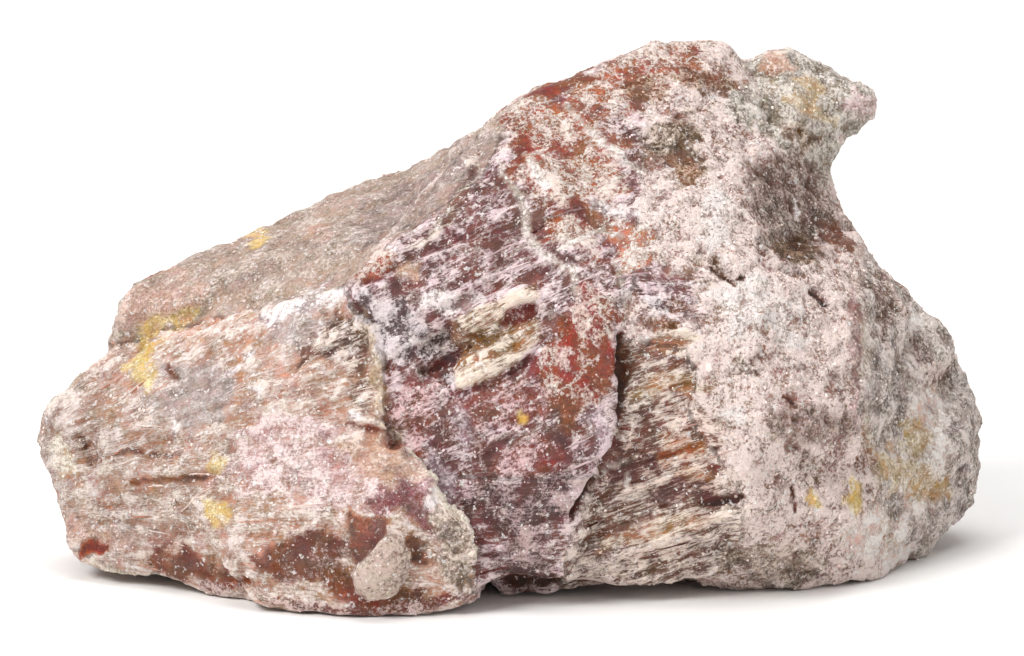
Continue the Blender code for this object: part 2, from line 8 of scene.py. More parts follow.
# %% Load the frame
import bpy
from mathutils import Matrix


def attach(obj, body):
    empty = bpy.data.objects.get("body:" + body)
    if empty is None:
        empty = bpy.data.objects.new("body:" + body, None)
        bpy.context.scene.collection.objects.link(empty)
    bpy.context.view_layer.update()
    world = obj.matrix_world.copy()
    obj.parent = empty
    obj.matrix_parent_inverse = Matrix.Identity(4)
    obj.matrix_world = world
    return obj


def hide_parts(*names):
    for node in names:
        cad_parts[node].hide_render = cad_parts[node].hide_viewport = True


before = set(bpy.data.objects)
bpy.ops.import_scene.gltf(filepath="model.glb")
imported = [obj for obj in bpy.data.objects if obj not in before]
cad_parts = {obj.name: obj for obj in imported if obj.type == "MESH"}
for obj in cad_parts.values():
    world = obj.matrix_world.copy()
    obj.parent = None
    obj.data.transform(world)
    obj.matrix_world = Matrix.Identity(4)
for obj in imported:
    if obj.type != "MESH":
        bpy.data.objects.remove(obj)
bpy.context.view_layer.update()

# %% [markdown]
# ## Tools
# Blender's bmesh shapes the pieces. NumPy does the sums that are the same for the skin's nearly 100,000
# points, as a loop over them would be slow. Lengths are written in mm and turned to metres by one factor.

# %% Tools for the lesson
import math
from collections import namedtuple

import bmesh
import bpy
import numpy as np
from mathutils import Matrix, Vector, noise
from mathutils.bvhtree import BVHTree

MM = 0.001

# %% [markdown]
# ## The camera, and places in its picture
# The stone is seen a little from above, from far off with a long lens, so that its forms keep their
# proportions. Most of its colours lie in patches that are easiest to place by looking at it from there, as a
# painter does. So a place is also given as mm to the right of and above the middle of the picture, at the
# stone's true scale.

# %% Set up the camera
TILT = math.radians(12)
EYE = 800
AIM = Vector((-0.0001, -0.0007, 0.0241))
FRAME_WIDTH = 102.4
SENSOR = 36

RIGHT = Vector((1, 0, 0))
UP = Vector((0, math.sin(TILT), math.cos(TILT)))
TOWARDS = Vector((0, -math.cos(TILT), math.sin(TILT)))

camera = bpy.data.objects.new("camera", bpy.data.cameras.new("camera"))
camera.location = AIM + TOWARDS * EYE * MM
camera.rotation_euler = (-TOWARDS).to_track_quat("-Z", "Y").to_euler()
camera.data.sensor_width = SENSOR
camera.data.lens = SENSOR * EYE / FRAME_WIDTH
bpy.context.scene.collection.objects.link(camera)
bpy.context.scene.camera = camera
print(f"camera {EYE} mm away with a {camera.data.lens:.0f} mm lens")


def in_picture(places):
    """Places in metres as mm right of, above and in front of the picture's middle."""
    off = (places - np.array(AIM)) / MM
    near = off @ np.array(TOWARDS)
    shrink = 1 - near / EYE
    return off @ np.array(RIGHT) / shrink, off @ np.array(UP) / shrink, near


# %% [markdown]
# ## A finer skin
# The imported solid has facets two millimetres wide, and talc weathers much finer than that. A copy of it is
# merged, rounded by one Catmull-Clark step and remeshed into even squares of under half a millimetre. A
# remesh suits a stone better than plain subdivision, because its squares are all alike, so the carving below
# bites evenly. Last, the squares are smoothed a few times, which melts the solid's edges.

# %% Copy and refine the solid
NODE = "soapstone"
SAME_POINT = 0.001
SKIN_CELL = 0.44
SKIN_MELTS = 3


def new_object(name, mesh):
    obj = bpy.data.objects.new(name, mesh)
    bpy.context.scene.collection.objects.link(obj)
    return obj


def bake_modifiers(obj):
    """Swaps the object's mesh for the one its modifiers make."""
    graph = bpy.context.evaluated_depsgraph_get()
    mesh = bpy.data.meshes.new_from_object(obj.evaluated_get(graph))
    obj.modifiers.clear()
    obj.data = mesh


bm = bmesh.new()
bm.from_mesh(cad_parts[NODE].data)
bmesh.ops.remove_doubles(bm, verts=bm.verts, dist=SAME_POINT * MM)
mesh = bpy.data.meshes.new("stone_skin")
bm.to_mesh(mesh)
bm.free()
stone = new_object("stone_skin", mesh)
rounding = stone.modifiers.new("rounding", "SUBSURF")
rounding.levels = rounding.render_levels = 1
squares = stone.modifiers.new("squares", "REMESH")
squares.mode = "VOXEL"
squares.voxel_size = SKIN_CELL * MM
bake_modifiers(stone)

bm = bmesh.new()
bm.from_mesh(stone.data)
for _ in range(SKIN_MELTS):
    bmesh.ops.smooth_vert(bm, verts=bm.verts, factor=0.5, use_axis_x=True, use_axis_y=True, use_axis_z=True)
bm.to_mesh(stone.data)
bm.free()
print(len(stone.data.vertices), "points and", len(stone.data.polygons), "squares in the skin")

# %% [markdown]
# ## Measuring from lines and areas
# Carving and painting both need to know how far a point is from a line or an area drawn on the stone, and
# both need natural irregularity. These helpers answer that for all points at once.

# %% Helpers for lines, areas and clouds


def read_skin():
    """The skin's points in metres and their normals, as arrays."""
    points = np.empty(len(stone.data.vertices) * 3)
    stone.data.vertices.foreach_get("co", points)
    normals = np.empty(len(points))
    stone.data.vertex_normals.foreach_get("vector", normals)
    return points.reshape(-1, 3), normals.reshape(-1, 3)


def write_skin(points):
    stone.data.vertices.foreach_set("co", points.ravel())
    stone.data.update()


def smooth_step(low, high, values):
    share = np.clip((values - low) / (high - low), 0, 1)
    return share * share * (3 - 2 * share)


def blend(start, end, share):
    return start + (end - start) * share


def cloud(places, size, seed, octaves=3):
    """Soft noise from about -1 to 1, with lumps of that size in mm. places are in mm."""
    shifted = places / size + 17.3 * seed
    return np.array([noise.fractal(Vector(p), 1.0, 2.0, octaves) for p in shifted])


def to_line(u, v, line):
    """Distance in mm to a drawn line, which side it is on (+1 is left of it), and how far along, 0 to 1."""
    best = np.full(len(u), 1e9)
    side = np.zeros(len(u))
    along = np.zeros(len(u))
    lengths = [math.dist(a, b) for a, b in zip(line, line[1:])] or [1]
    done = 0
    for (au, av), (bu, bv), length in zip(line, line[1:] or line, lengths):
        du, dv = bu - au, bv - av
        share = np.clip(((u - au) * du + (v - av) * dv) / max(du * du + dv * dv, 1e-9), 0, 1)
        away = np.hypot(u - au - share * du, v - av - share * dv)
        nearer = away < best
        best[nearer] = away[nearer]
        side[nearer] = np.sign(du * (v - av) - dv * (u - au))[nearer]
        along[nearer] = ((done + share * length) / sum(lengths))[nearer]
        done += length
    return best, side, along


def inside(u, v, outline):
    """Distance in mm to an outline, above 0 inside it and below 0 outside."""
    ring = outline + outline[:1]
    away = to_line(u, v, ring)[0]
    crossings = np.zeros(len(u), bool)
    for (au, av), (bu, bv) in zip(ring, ring[1:]):
        if av != bv:
            level = (av > v) != (bv > v)
            crossings ^= level & (u < (bu - au) * (v - av) / (bv - av) + au)
    return np.where(crossings, away, -away)


points, normals = read_skin()
print("points facing the camera:", int((normals @ np.array(TOWARDS) > 0).sum()))

# %% [markdown]
# ## The finishes of the stone
# One soapstone shows many finishes, because talc, its iron stains and the powder that its softness sheds lie
# over each other. Each finish has a body colour, the colour of the powder on it, and seven amounts: how much
# of the body the powder covers, how waxy, fibrous, pitted and veined the body is, how hazy the powder's edges
# are, and how far it clumps in patches. Colours are sRGB hex.

# %% Name the finishes
Finish = namedtuple("Finish", "body dust cover wax fibre pits veins haze clump")


def linear(hex_colour):
    """An sRGB hex colour as linear red, green and blue."""
    parts = [int(hex_colour[i : i + 2], 16) / 255 for i in (1, 3, 5)]
    return [p / 12.92 if p <= 0.04045 else ((p + 0.055) / 1.055) ** 2.4 for p in parts]


FINISHES = {
    "tan fibre": Finish("#B47C64", "#EBDAD1", 0.525, 0.1, 0.8, 0.1, 0, 0.6, 0.9),
    "brown fibre": Finish("#63392A", "#F2E0D5", 0.485, 0.1, 0.9, 0.2, 0, 0.25, 0.8),
    "grey fibre": Finish("#A68E86", "#E4D6D2", 0.46, 0.1, 0.7, 0.1, 0, 0.8, 1),
    "pink talc": Finish("#AB6F64", "#F2DBD8", 0.58, 0.2, 0.5, 0.1, 0, 0.7, 1),
    "rosy talc": Finish("#7A4442", "#D8B2B4", 0.41, 0.3, 0.2, 0.1, 0, 0.6, 0.8),
    "salmon wax": Finish("#8E5A50", "#D6B2A6", 0.16, 1, 0.1, 0, 0, 0.5, 1),
    "slope grey": Finish("#8C736B", "#D6C4BE", 0.43, 0.1, 0.5, 0.1, 0, 0.8, 1),
    "salmon beige": Finish("#BC8A72", "#F0D6C8", 0.45, 0.1, 0.3, 0, 0, 0.8, 1),
    "brown mauve": Finish("#6C3C2C", "#CEB0A8", 0.37, 0.2, 0.4, 0.2, 0, 0.15, 0.4),
    "red brown": Finish("#70402E", "#BC9C8E", 0.34, 0.2, 0.6, 0.2, 0, 0.2, 0.7),
    "beige mottle": Finish("#7A5E4C", "#E8D5C8", 0.48, 0.1, 0.2, 0.5, 0, 0.6, 1),
    "flake": Finish("#8A5C4F", "#D6C0B3", 0.57, 0, 0, 0.1, 0, 0.9, 1),
    "ochre crumb": Finish("#E0A038", "#F4DD9C", 0.53, 0, 0, 0.2, 0, 0.7, 1),
    "ochre stain": Finish("#DAAC62", "#F6E0B2", 0.5, 0, 0.5, 0.1, 0, 0.8, 1),
    "orange wax": Finish("#8C1A00", "#A84C24", 0.03, 1, 0, 0, 0, 0.2, 1),
    "cream crust": Finish("#D4A680", "#F0E5D6", 0.57, 0, 0.1, 0.2, 0, 0.5, 1),
    "smooth beige": Finish("#A88571", "#DAC8BE", 0.52, 0.1, 0.1, 0, 0, 1, 1),
    "smooth rose": Finish("#BA8B79", "#E4C8BB", 0.5, 0.1, 0.1, 0, 0, 1, 1),
    "rust": Finish("#9C4722", "#F1DCD2", 0.45, 0.6, 0.1, 0.1, 0.9, 0.2, 1.3),
    "bright rust": Finish("#8C2C0C", "#EBCFC4", 0.4, 1, 0.1, 0, 0.8, 0.1, 1.5),
    "salmon": Finish("#C8744C", "#F8ECE4", 0.5, 0.4, 0.1, 0, 0.8, 0.3, 1.4),
    "mauve": Finish("#673430", "#ECD5D6", 0.45, 0.2, 0.8, 0.1, 0.3, 0.2, 1.3),
    "dark mauve": Finish("#4E3536", "#EADCDD", 0.54, 0.1, 0.5, 0.3, 0, 0.15, 1.3),
    "wine": Finish("#7A3428", "#EDCACA", 0.48, 0.4, 0.5, 0.1, 0.1, 0.2, 1.2),
    "white powder": Finish("#A88C88", "#FAEEEC", 0.59, 0, 0.3, 0.1, 0, 0.15, 1.2),
    "dark pit": Finish("#4C3834", "#EADAD6", 0.67, 0, 0.5, 0.6, 0, 0.15, 0.8),
    "cream fibre": Finish("#9A6846", "#F2E0D0", 0.5, 0.1, 1, 0, 0, 0.2, 0.8),
    "maroon": Finish("#742B1E", "#ECD0CA", 0.46, 0.5, 0.1, 0, 0, 0.15, 1.1),
    "cream vein": Finish("#C8AFA2", "#FAEEE7", 0.56, 0, 0, 0, 0, 0.5, 1),
    "rim beige": Finish("#B08A6A", "#EBD5BE", 0.52, 0, 0, 0.3, 0, 0.6, 1),
    "lilac": Finish("#86646B", "#E6D1D5", 0.51, 0.1, 0.2, 0.1, 0, 0.5, 0.8),
    "dark fringe": Finish("#4C2A28", "#C8AEAC", 0.45, 0.2, 0.5, 0.2, 0, 0.15, 0.5),
    "red bars": Finish("#702E1A", "#F0DACE", 0.53, 0.6, 1, 0, 0, 0.15, 0.9),
    "rust bars": Finish("#9C4C22", "#EED2C0", 0.48, 0.8, 1, 0, 0, 0.15, 0.9),
    # Painted shade: a dark brown laid in cracks and slits and under the front edge, where shade falls.
    "crack": Finish("#3E241B", "#94786E", 0.2, 0, 0.3, 0.2, 0, 0.15, 1),
    "pink crust": Finish("#98614E", "#F7E3DC", 0.63, 0, 0, 0.3, 0.1, 0.4, 1.1),
    "pale crust": Finish("#A97E6C", "#FCF0EB", 0.65, 0, 0, 0.2, 0, 0.4, 1),
    "brown crust": Finish("#765243", "#E8D4CB", 0.5, 0, 0, 0.5, 0, 0.5, 1.2),
    "olive": Finish("#7A4426", "#D8B6A0", 0.44, 0.2, 0, 0.4, 0.1, 0.15, 1),
    "grey olive": Finish("#66482F", "#DEC9B9", 0.46, 0, 0, 0.7, 0, 0.4, 1),
    # The hollow under the horn: its dark browns are partly its own colour and partly painted shade.
    "dark hollow": Finish("#4E3122", "#DAC6BA", 0.46, 0, 0, 0.3, 0, 0.5, 0.6),
    "ochre hollow": Finish("#52321C", "#AE9078", 0.42, 0, 0, 0.4, 0, 0.6, 0.6),
    "horn grey": Finish("#8E7A66", "#F0E5DB", 0.54, 0, 0, 0.3, 0, 0.6, 1),
    "flank grey": Finish("#8C766B", "#F0E2DB", 0.52, 0, 0, 0.2, 0, 0.8, 1.3),
    # Painted lighter than the stain, as painted light on the flank where it turns from the lamps.
    "flank pink": Finish("#ECC0AC", "#FFF6F0", 0.6, 0, 0, 0.2, 0, 0.8, 1.2),
    "flank yellow": Finish("#CCA070", "#F3E3CC", 0.5, 0, 0, 0.2, 0, 0.8, 1.2),
    "deep rust": Finish("#8C3210", "#D8A088", 0.22, 1, 0.1, 0, 0, 0.1, 1),
    "bundle fibre": Finish("#86583E", "#F2DFCF", 0.43, 0.1, 1, 0, 0, 0.3, 0.6),
    "dark bars": Finish("#562620", "#D4B4A8", 0.43, 0.5, 1, 0, 0, 0.15, 0.7),
    "dusky crust": Finish("#8A665A", "#D4BCB4", 0.52, 0, 0, 0.5, 0, 0.4, 0.9),
    # Partly painted shade, for the hollow under the horn.
    "brown hollow shade": Finish("#6C4A3B", "#D0BAB2", 0.49, 0, 0, 0.3, 0, 0.4, 0.8),
    "dusty vein": Finish("#9A726C", "#E2C6C0", 0.5, 0, 0.2, 0.1, 0, 0.5, 0.8),
}
BODY = slice(0, 3)
DUST = slice(3, 6)
COVER, WAX, FIBRE, PITS = 6, 7, 8, 9
AMOUNTS = Finish._fields[2:]


def channels(name):
    """A finish as the thirteen numbers that each point of the skin carries: two colours and the amounts."""
    finish = FINISHES[name]
    return np.array([*linear(finish.body), *linear(finish.dust), *finish[2:]])


print(len(FINISHES), "finishes of", len(channels("rust")), "numbers each")

# %% [markdown]
# ## Areas of the stone
# The patches follow the stone's own build: a fibrous lobe to the left, a wine and mauve block in the middle
# with a rust crest, a recess full of fibres beside it, a pink crust on the right, and a grey flank behind a
# dusty vein. Each area is an outline in the picture, and its finish meets the next one over a soft edge.

# %% Outline the areas
SLOPE = [(-42, -2), (-38, 6), (-18, 14), (-9, 18), (0, 24), (-1, 15), (-12, 9), (-17, 3), (-30, 1)]
LOBE = [(-50, -12), (-41, -2), (-30, 1), (-17, 4), (-13, 0), (-12.5, -11), (-8, -16), (-4, -22), (-3, -28),
        (-28, -30), (-46, -21)]
BLOCK = [(-17, 4), (-11, 9.5), (-3, 15), (0, 22), (5, 26), (13, 30), (15, 20), (12.5, 10), (12, 4), (11, -2),
         (11, -11), (9, -15), (5.5, -22), (5, -28), (-3, -28), (-5, -20), (-8.5, -15), (-12.7, -11),
         (-12.7, -3), (-15.5, 2)]
RECESS = [(11.3, -1), (17.5, -2.2), (18.5, -5), (17.6, -8.2), (19, -11), (22, -14.5), (23.3, -18),
          (22.5, -25), (5, -28), (5.5, -22), (9, -15), (11, -11)]
FACE = [(13, 31), (23, 31), (26, 26), (32, 19), (34, 8), (35, -12), (36.6, -18), (41, -27), (18.5, -28),
        (21, -24), (23.4, -19.5), (22, -14.5), (18.8, -11), (17.6, -8.2), (18.5, -5), (17.5, -2.2),
        (11.3, -1), (12.5, 6), (13, 18)]
HORN = [(22, 30), (27, 30), (38, 25), (38, 19), (32, 16), (31, 13), (26, 19)]
HOLLOW = [(23.3, 16.4), (28.8, 17.8), (31.8, 13.8), (33.3, 9.8), (30.8, 6.6), (27.8, 6.3), (25.4, 8.3),
          (23.8, 11.8), (23, 14.3)]
FLANK = [(35.4, 10), (38, 8), (46, 0), (50, -12), (45, -20), (42, -24), (40, -26), (36.8, -18), (36, -12),
         (34.9, -7), (35.6, -2), (34.7, 4)]
AREAS = [
    # The finish, how soft its edge is in mm, and where it is.
    ("smooth beige", 0.6, SLOPE),
    ("tan fibre", 0.4, LOBE),
    ("mauve", 0.4, BLOCK),
    ("brown fibre", 0.6, RECESS),
    ("pink crust", 0.8, FACE),
    ("horn grey", 0.8, HORN),
    # The hollow's brown is partly its own colour and partly painted shade.
    ("brown hollow shade", 1.2, HOLLOW),
    ("flank grey", 1.1, FLANK),
]
print(len(AREAS), "areas")

# %% [markdown]
# ## Strokes over the areas
# Smaller stains, veins and powdery places are strokes, as a painter would lay them: a finish, and then for
# each stroke half its width in mm and the line that it follows. A stroke covers the ones before it, so their
# order is the stone's own layering.
#
# ### The lobe on the left
# The lobe is tan fibre with greyer and browner bands, a bloom of pink talc on its belly, and a mauve and
# brown foot, darkened towards its bottom edge partly as painted shade. Yellow and orange are iron stains.
# White is talc that was bruised.

# %% Strokes on the lobe
STROKES = [
    ("grey fibre", (2.8, [(-33.2, -4.2), (-28.2, -7.2)]), (1.4, [(-24.2, -1.2), (-18.2, 0.4)])),
    ("brown fibre", (2, [(-21.2, -2.2), (-16.2, -0.2), (-14.4, -7.2)])),
    ("grey fibre", (1.8, [(-36.2, -7.2), (-29.2, -8.7)])),
    ("pink talc", (3.2, [(-28.2, -14.2), (-20.2, -14.2), (-11.2, -16.2)]),
     (1.6, [(-27.2, -10.2), (-18.2, -10.2)])),
    ("salmon beige", (2, [(-16, -12.2), (-12.7, -13.4), (-8.7, -15)])),
    ("rosy talc", (1.9, [(-14.2, -17.7), (-9.7, -16.7), (-7.9, -19.4)])),
    # The foot darkens towards its bottom edge: partly mauve and brown stain, partly painted shade.
    ("brown mauve", (2.6, [(-25.7, -23.2), (-21.2, -23.2), (-17.2, -24.7)]),
     (1.6, [(-21.2, -21.7), (-16.2, -21.7)]), (1.8, [(-18.2, -24.6), (-14.2, -27), (-9.2, -26.4)]),
     (1.2, [(-10.2, -20.4), (-9, -23.4)])),
    # Painted shade along the lobe's bottom edge, over its red-brown body.
    ("red brown", (1.5, [(-35.8, -23.2), (-31.2, -23.8), (-27.4, -25.4)])),
    ("beige mottle", (2, [(-7.2, -19.2), (-5.7, -25.2)])),
    ("white powder", (0.8, [(-8.4, -17.7), (-7.2, -16.2)])),
    # A thin red-brown line painted as the shade in a groove.
    ("red brown", (0.3, [(-38.4, -15.6), (-35.2, -15.2), (-30.7, -14.9)])),
    ("brown fibre", (0.25, [(-39, -12.3), (-36.2, -12.5), (-32.7, -12.7)])),
    ("ochre stain", (1.1, [(-30.7, -13.4), (-28.7, -13.4)]), (1.3, [(-30.4, -17.2), (-29.7, -19.7)]),
     (1.3, [(-36.8, -1.6), (-35.4, 0.4), (-32.2, 1.6)])),
    ("ochre crumb", (0.8, [(-35.4, 1), (-32.2, 1.6)]), (0.5, [(-37, -1.7), (-35.2, -0.4)])),
    ("ochre stain", (1.5, [(-37.4, -2.8), (-36.2, -5.4)])),
    ("cream crust", (1, [(-45.2, -11.2), (-44, -14.7)])),
    ("brown fibre", (0.4, [(-43, -11), (-42.2, -13.6)])),
    ("smooth rose", (1.3, [(-44.2, -20.2), (-39.2, -21.2)])),
    ("orange wax", (0.9, [(-42.9, -22.6), (-40.8, -21.5)])),
    ("white powder", (1.3, [(-25, 0.6), (-21.2, 1.8), (-17.2, 3.4)]), (0.3, [(-28.6, -4.8), (-27.2, -3.8)]),
     (0.3, [(-26.8, -3.2), (-25.8, -2.4)]), (0.25, [(-26, -6.2), (-25, -6.4)]),
     (0.25, [(-34.2, -7.2), (-33.6, -11.2)]), (0.5, [(-16.6, -8.3), (-15.2, -9.3)])),
    ("red brown", (0.5, [(-34, -3.8), (-33.6, -5)])),
    ("rim beige", (0.7, [(-14.7, 1.4), (-13.7, -1.2), (-13.3, -3.2), (-13.3, -8.2), (-13.4, -10)])),
    ("red brown", (0.4, [(-17, -9.6), (-14.2, -10.2), (-12.9, -10.6)])),
    ("beige mottle", (0.8, [(-12.2, -10.6), (-11.2, -11.2)])),
    ("cream crust", (0.4, [(-10.7, -12.2), (-8.7, -15), (-6.7, -17.8), (-4.6, -20.2), (-4, -23.2)])),
]
print(len(STROKES), "groups of strokes so far")

# %% [markdown]
# ### The slope behind the crest
# The slope behind is an old weathered face, smoother and duller than the breaks. It turns rosy in places,
# and grey near the crest.

# %% Strokes on the slope
STROKES += [
    ("smooth rose", (2.6, [(-38.2, 0.8), (-32.2, 4.3)]), (1.4, [(-20.2, 9.3), (-18.2, 10)])),
    ("ochre stain", (0.9, [(-26.4, 8.5), (-24.2, 9.2)])),
    ("slope grey", (2.2, [(-15.2, 9.8), (-6.2, 14.8), (-2.2, 18.8)])),
]
print(len(STROKES), "groups of strokes so far")

# %% [markdown]
# ### The block in the middle
# The block is mauve, with rust along its crest and right side where iron has oxidised. Cream veins cross
# it, its left side is nearly black under white powder, and its foot is a dark fringe.

# %% Strokes on the block
STROKES += [
    ("rust", (3.2, [(0.8, 22.3), (3.3, 17.8), (7.8, 22.8), (12.8, 26.3), (18.8, 27.8)]),
     (2.6, [(0.3, 17.8), (4.8, 13.8), (8.8, 16.8), (7.8, 9.8), (4.8, 9.8)])),
    ("bright rust", (1, [(0.2, 21.2), (0.4, 17)]), (1.2, [(0.4, 16.2), (2.6, 14.2)])),
    ("deep rust", (0.9, [(0.6, 23.6), (4.2, 24.6), (8, 25.2)]), (1, [(0.6, 19.4), (1.2, 16.4)]),
     (0.8, [(6, 13.2), (7.4, 11)])),
    ("olive", (1.5, [(11.2, 24), (14.4, 24)])),
    ("salmon", (1.8, [(9.6, 9.3), (13.3, 8.8)]), (1.4, [(11.3, 7.8), (12.8, 5.3)])),
    ("white powder", (0.6, [(7.8, 13.2), (10, 11.8), (13.2, 11.4)]), (0.5, [(0.4, 13.2), (1.4, 11.6)]),
     (0.4, [(1.8, 16.2), (3.6, 13.8)])),
    ("cream vein", (0.4, [(-1.2, 16.3), (0.8, 12.8), (1.5, 9.3), (3.6, 7), (6, 5.8), (6.6, 3.6), (8.6, 1.8),
     (9.4, -1.2)]), (0.35, [(1.2, 17.4), (3.4, 14.6)]), (0.3, [(5.2, 22.4), (8.8, 18.8), (12.8, 15.8)]),
     (0.3, [(4.8, 7.8), (8.8, 9.8), (11.2, 9)]), (0.3, [(10, 7), (11.4, 3.4), (11.2, 0.2)])),
    ("white powder", (1, [(-8.7, 2.6), (-5.7, 2.8), (-2.9, 3.4)])),
    ("rust", (0.9, [(-14.2, 6.2), (-11.6, 7.2)])),
    ("brown fibre", (0.6, [(-3.6, 17.8), (-4.4, 14.2), (-7.4, 9.8), (-10, 7.8)])),
    ("rust", (0.8, [(-12, 6.8), (-16, 4.8)])),
    ("salmon beige", (0.9, [(-11.2, 5.4), (-9.2, 6.6)])),
    ("dark mauve", (2.2, [(-14, 2.8), (-11.2, -0.7), (-7.2, -1.7)])),
    ("dark pit", (1.1, [(-8.4, -1.8), (-6, -0.4)])),
    ("dark mauve", (0.8, [(-7.2, -4.4), (-5.7, -5.2)])),
    ("white powder", (0.3, [(-10.4, -1.4), (-8.8, -1.2)])),
    ("lilac", (1, [(-5, -7.2), (-4.6, -12.6)])),
    ("wine", (3, [(-10.7, -6.2), (-9.2, -10.2)]), (2.6, [(-4.2, -8.2), (3.3, -7.2)])),
    ("ochre stain", (0.5, [(0.6, -8.4), (1, -9.6)])),
    ("bright rust", (2.6, [(8.3, 3.8), (7.8, -2.2), (6.8, -7.2), (6.3, -9.7)]),
     (1.4, [(4, -2.2), (4.8, -8.2)])),
    ("deep rust", (1.2, [(4.8, -7.4), (6.6, -9.8)]), (0.9, [(5.4, 1), (6.2, -1.4)]),
     (1.1, [(9.2, -1.4), (9.6, -5)])),
    ("lilac", (1.2, [(9.1, -8.2), (9.3, -12.2)])),
    ("dark fringe", (3.4, [(-3.2, -17.2), (1.8, -19.2), (4.8, -16.2)]),
     (2.4, [(-2.2, -23.2), (2.8, -23.2)])),
    ("lilac", (0.9, [(-8, -12.2), (-6.7, -15.2), (-6, -17.7)])),
    ("wine", (1.6, [(-2.2, -13.7), (4.8, -12.7)])),
]
print(len(STROKES), "groups of strokes so far")

# %% [markdown]
# ### The recess with its fibres
# The recess shows the fibres best: bars of brown, red and rust between cream ones, and narrow cracks
# where the next block begins, painted dark as their shade.

# %% Strokes in the recess
STROKES += [
    ("brown fibre", (2.4, [(12.8, -3.2), (17.8, -3.7)])),
    ("cream fibre", (1, [(12, -6.7), (17.8, -5)]), (0.7, [(14, -2), (19.4, -0.8)]),
     (0.5, [(17, -6.4), (20.2, -5.8)])),
    ("pink crust", (0.6, [(16.6, -8.2), (18.8, -8)])),
    ("red bars", (3.2, [(11, -13), (14.8, -10.8), (18.4, -11.2), (20.4, -14.6)]),
     (1.6, [(12, -15.2), (18.8, -15.7)])),
    ("rust bars", (1.4, [(14.4, -13.4), (18.2, -11.6)])),
    ("dark bars", (1.8, [(9.8, -15), (13.4, -12.6)]), (1.3, [(14.2, -17.2), (18, -15.2), (21, -17)])),
    ("rust bars", (0.6, [(16.2, -14.4), (19.8, -14.6)])),
    ("cream vein", (0.22, [(9.4, -14.4), (11.2, -13.4), (12.6, -12.9)]),
     (0.22, [(11.6, -14.4), (11.9, -16.8)])),
    ("crack", (0.35, [(19.2, -17.5), (22.8, -17.1)])),
    ("brown fibre", (1.6, [(8.8, -18.2), (12.8, -19.2)])),
    ("cream fibre", (0.8, [(8.8, -21.7), (14.8, -20), (20.8, -19.2)])),
    ("red bars", (0.9, [(10.8, -23.4), (17.8, -21.2)])),
    ("ochre stain", (0.7, [(12.3, -24.6), (14.8, -24.4)])),
    ("brown fibre", (1.2, [(6.3, -24.7), (18.8, -24.8)])),
    ("crack", (0.35, [(11.1, -0.7), (11.2, -3.2), (11.2, -6.7), (10.9, -9.7)]),
     (0.35, [(8.8, -15.2), (7.3, -17), (6, -19.2)])),
]
print(len(STROKES), "groups of strokes so far")

# %% [markdown]
# ### The crust on the right
# The right of the stone is crusted with pale pink powder. The body looks through it in olive and brown
# spots. Its hollow under the horn is dark, partly in its own browns and partly as painted shade, and its
# slits are painted dark as their shade.

# %% Strokes on the crust
STROKES += [
    ("mauve", (2.4, [(12.8, 5), (18.2, 2.6)])),
    ("dark mauve", (0.8, [(13.8, 2.8), (15.3, 1.8)])),
    ("grey olive", (2.8, [(14.3, 19.8), (16.4, 18.2), (18.6, 17)])),
    ("olive", (1.1, [(15.6, 16.8), (18.8, 15.6)]), (1.2, [(15.8, 25.3), (22.8, 24.3)])),
    ("dusky crust", (2, [(26.4, -8.6), (29.8, -9.6), (33.8, -10)])),
    ("brown crust", (1.2, [(29.4, -13), (30.4, -15.4)])),
    ("ochre stain", (0.6, [(30, -16.4), (30.6, -18)])),
    ("brown crust", (1.6, [(18.8, 7.8), (21.3, 5.3)]), (1.4, [(22.3, -3.2), (24.8, -4.7)])),
    ("olive", (0.9, [(13.3, 0.3), (16.8, -0.2)])),
    ("pale crust", (2.6, [(20.8, 3.3), (24.8, 2.4), (28.8, -1.2)]), (1.8, [(20.3, 12.8), (20.8, 7.8)]),
     (1.2, [(20.8, -8.2), (23.4, -9.2)])),
    # The darkest of the hollow, under its lip: partly its own brown, partly painted shade.
    ("dark hollow", (2.2, [(25.4, 12), (27, 9.2), (30.4, 8.8)])),
    ("ochre hollow", (1.2, [(26.4, 8), (30.8, 7.2)])),
    ("white powder", (0.35, [(28.4, 12.8), (28.6, 10.8)])),
    ("red brown", (0.9, [(30.8, 10.4), (34, 8.2)])),
    ("dusty vein", (0.6, [(34, 4), (34.3, -0.2), (34.7, -4), (34.2, -9)])),
    ("beige mottle", (2, [(21.8, -23.2), (30.8, -24.2)])),
    # Painted light: the low flank's pink is laid lighter than the stain, where it lies in shade.
    ("flank pink", (2.6, [(33.8, -20.2), (38.8, -22.4)])),
    ("crack", (0.3, [(19.6, 6), (21, 5.2), (22.3, 4.3)]), (0.3, [(29.6, 4), (30.6, 3.4), (31.6, 2.3)]),
     (0.35, [(22.8, 5.2), (22.9, 4.8)]), (0.2, [(27.4, -6.6), (28.6, -8)]),
     (0.15, [(27.9, -15.8), (28.4, -18.4)])),
]
print(len(STROKES), "groups of strokes so far")

# %% [markdown]
# ### The flank and the horn
# The flank and the horn are grey and beige, with yellow and pink stains and a little rust. The flank's pink
# is painted lighter than the stain itself, as painted light where the flank turns from the lamps.

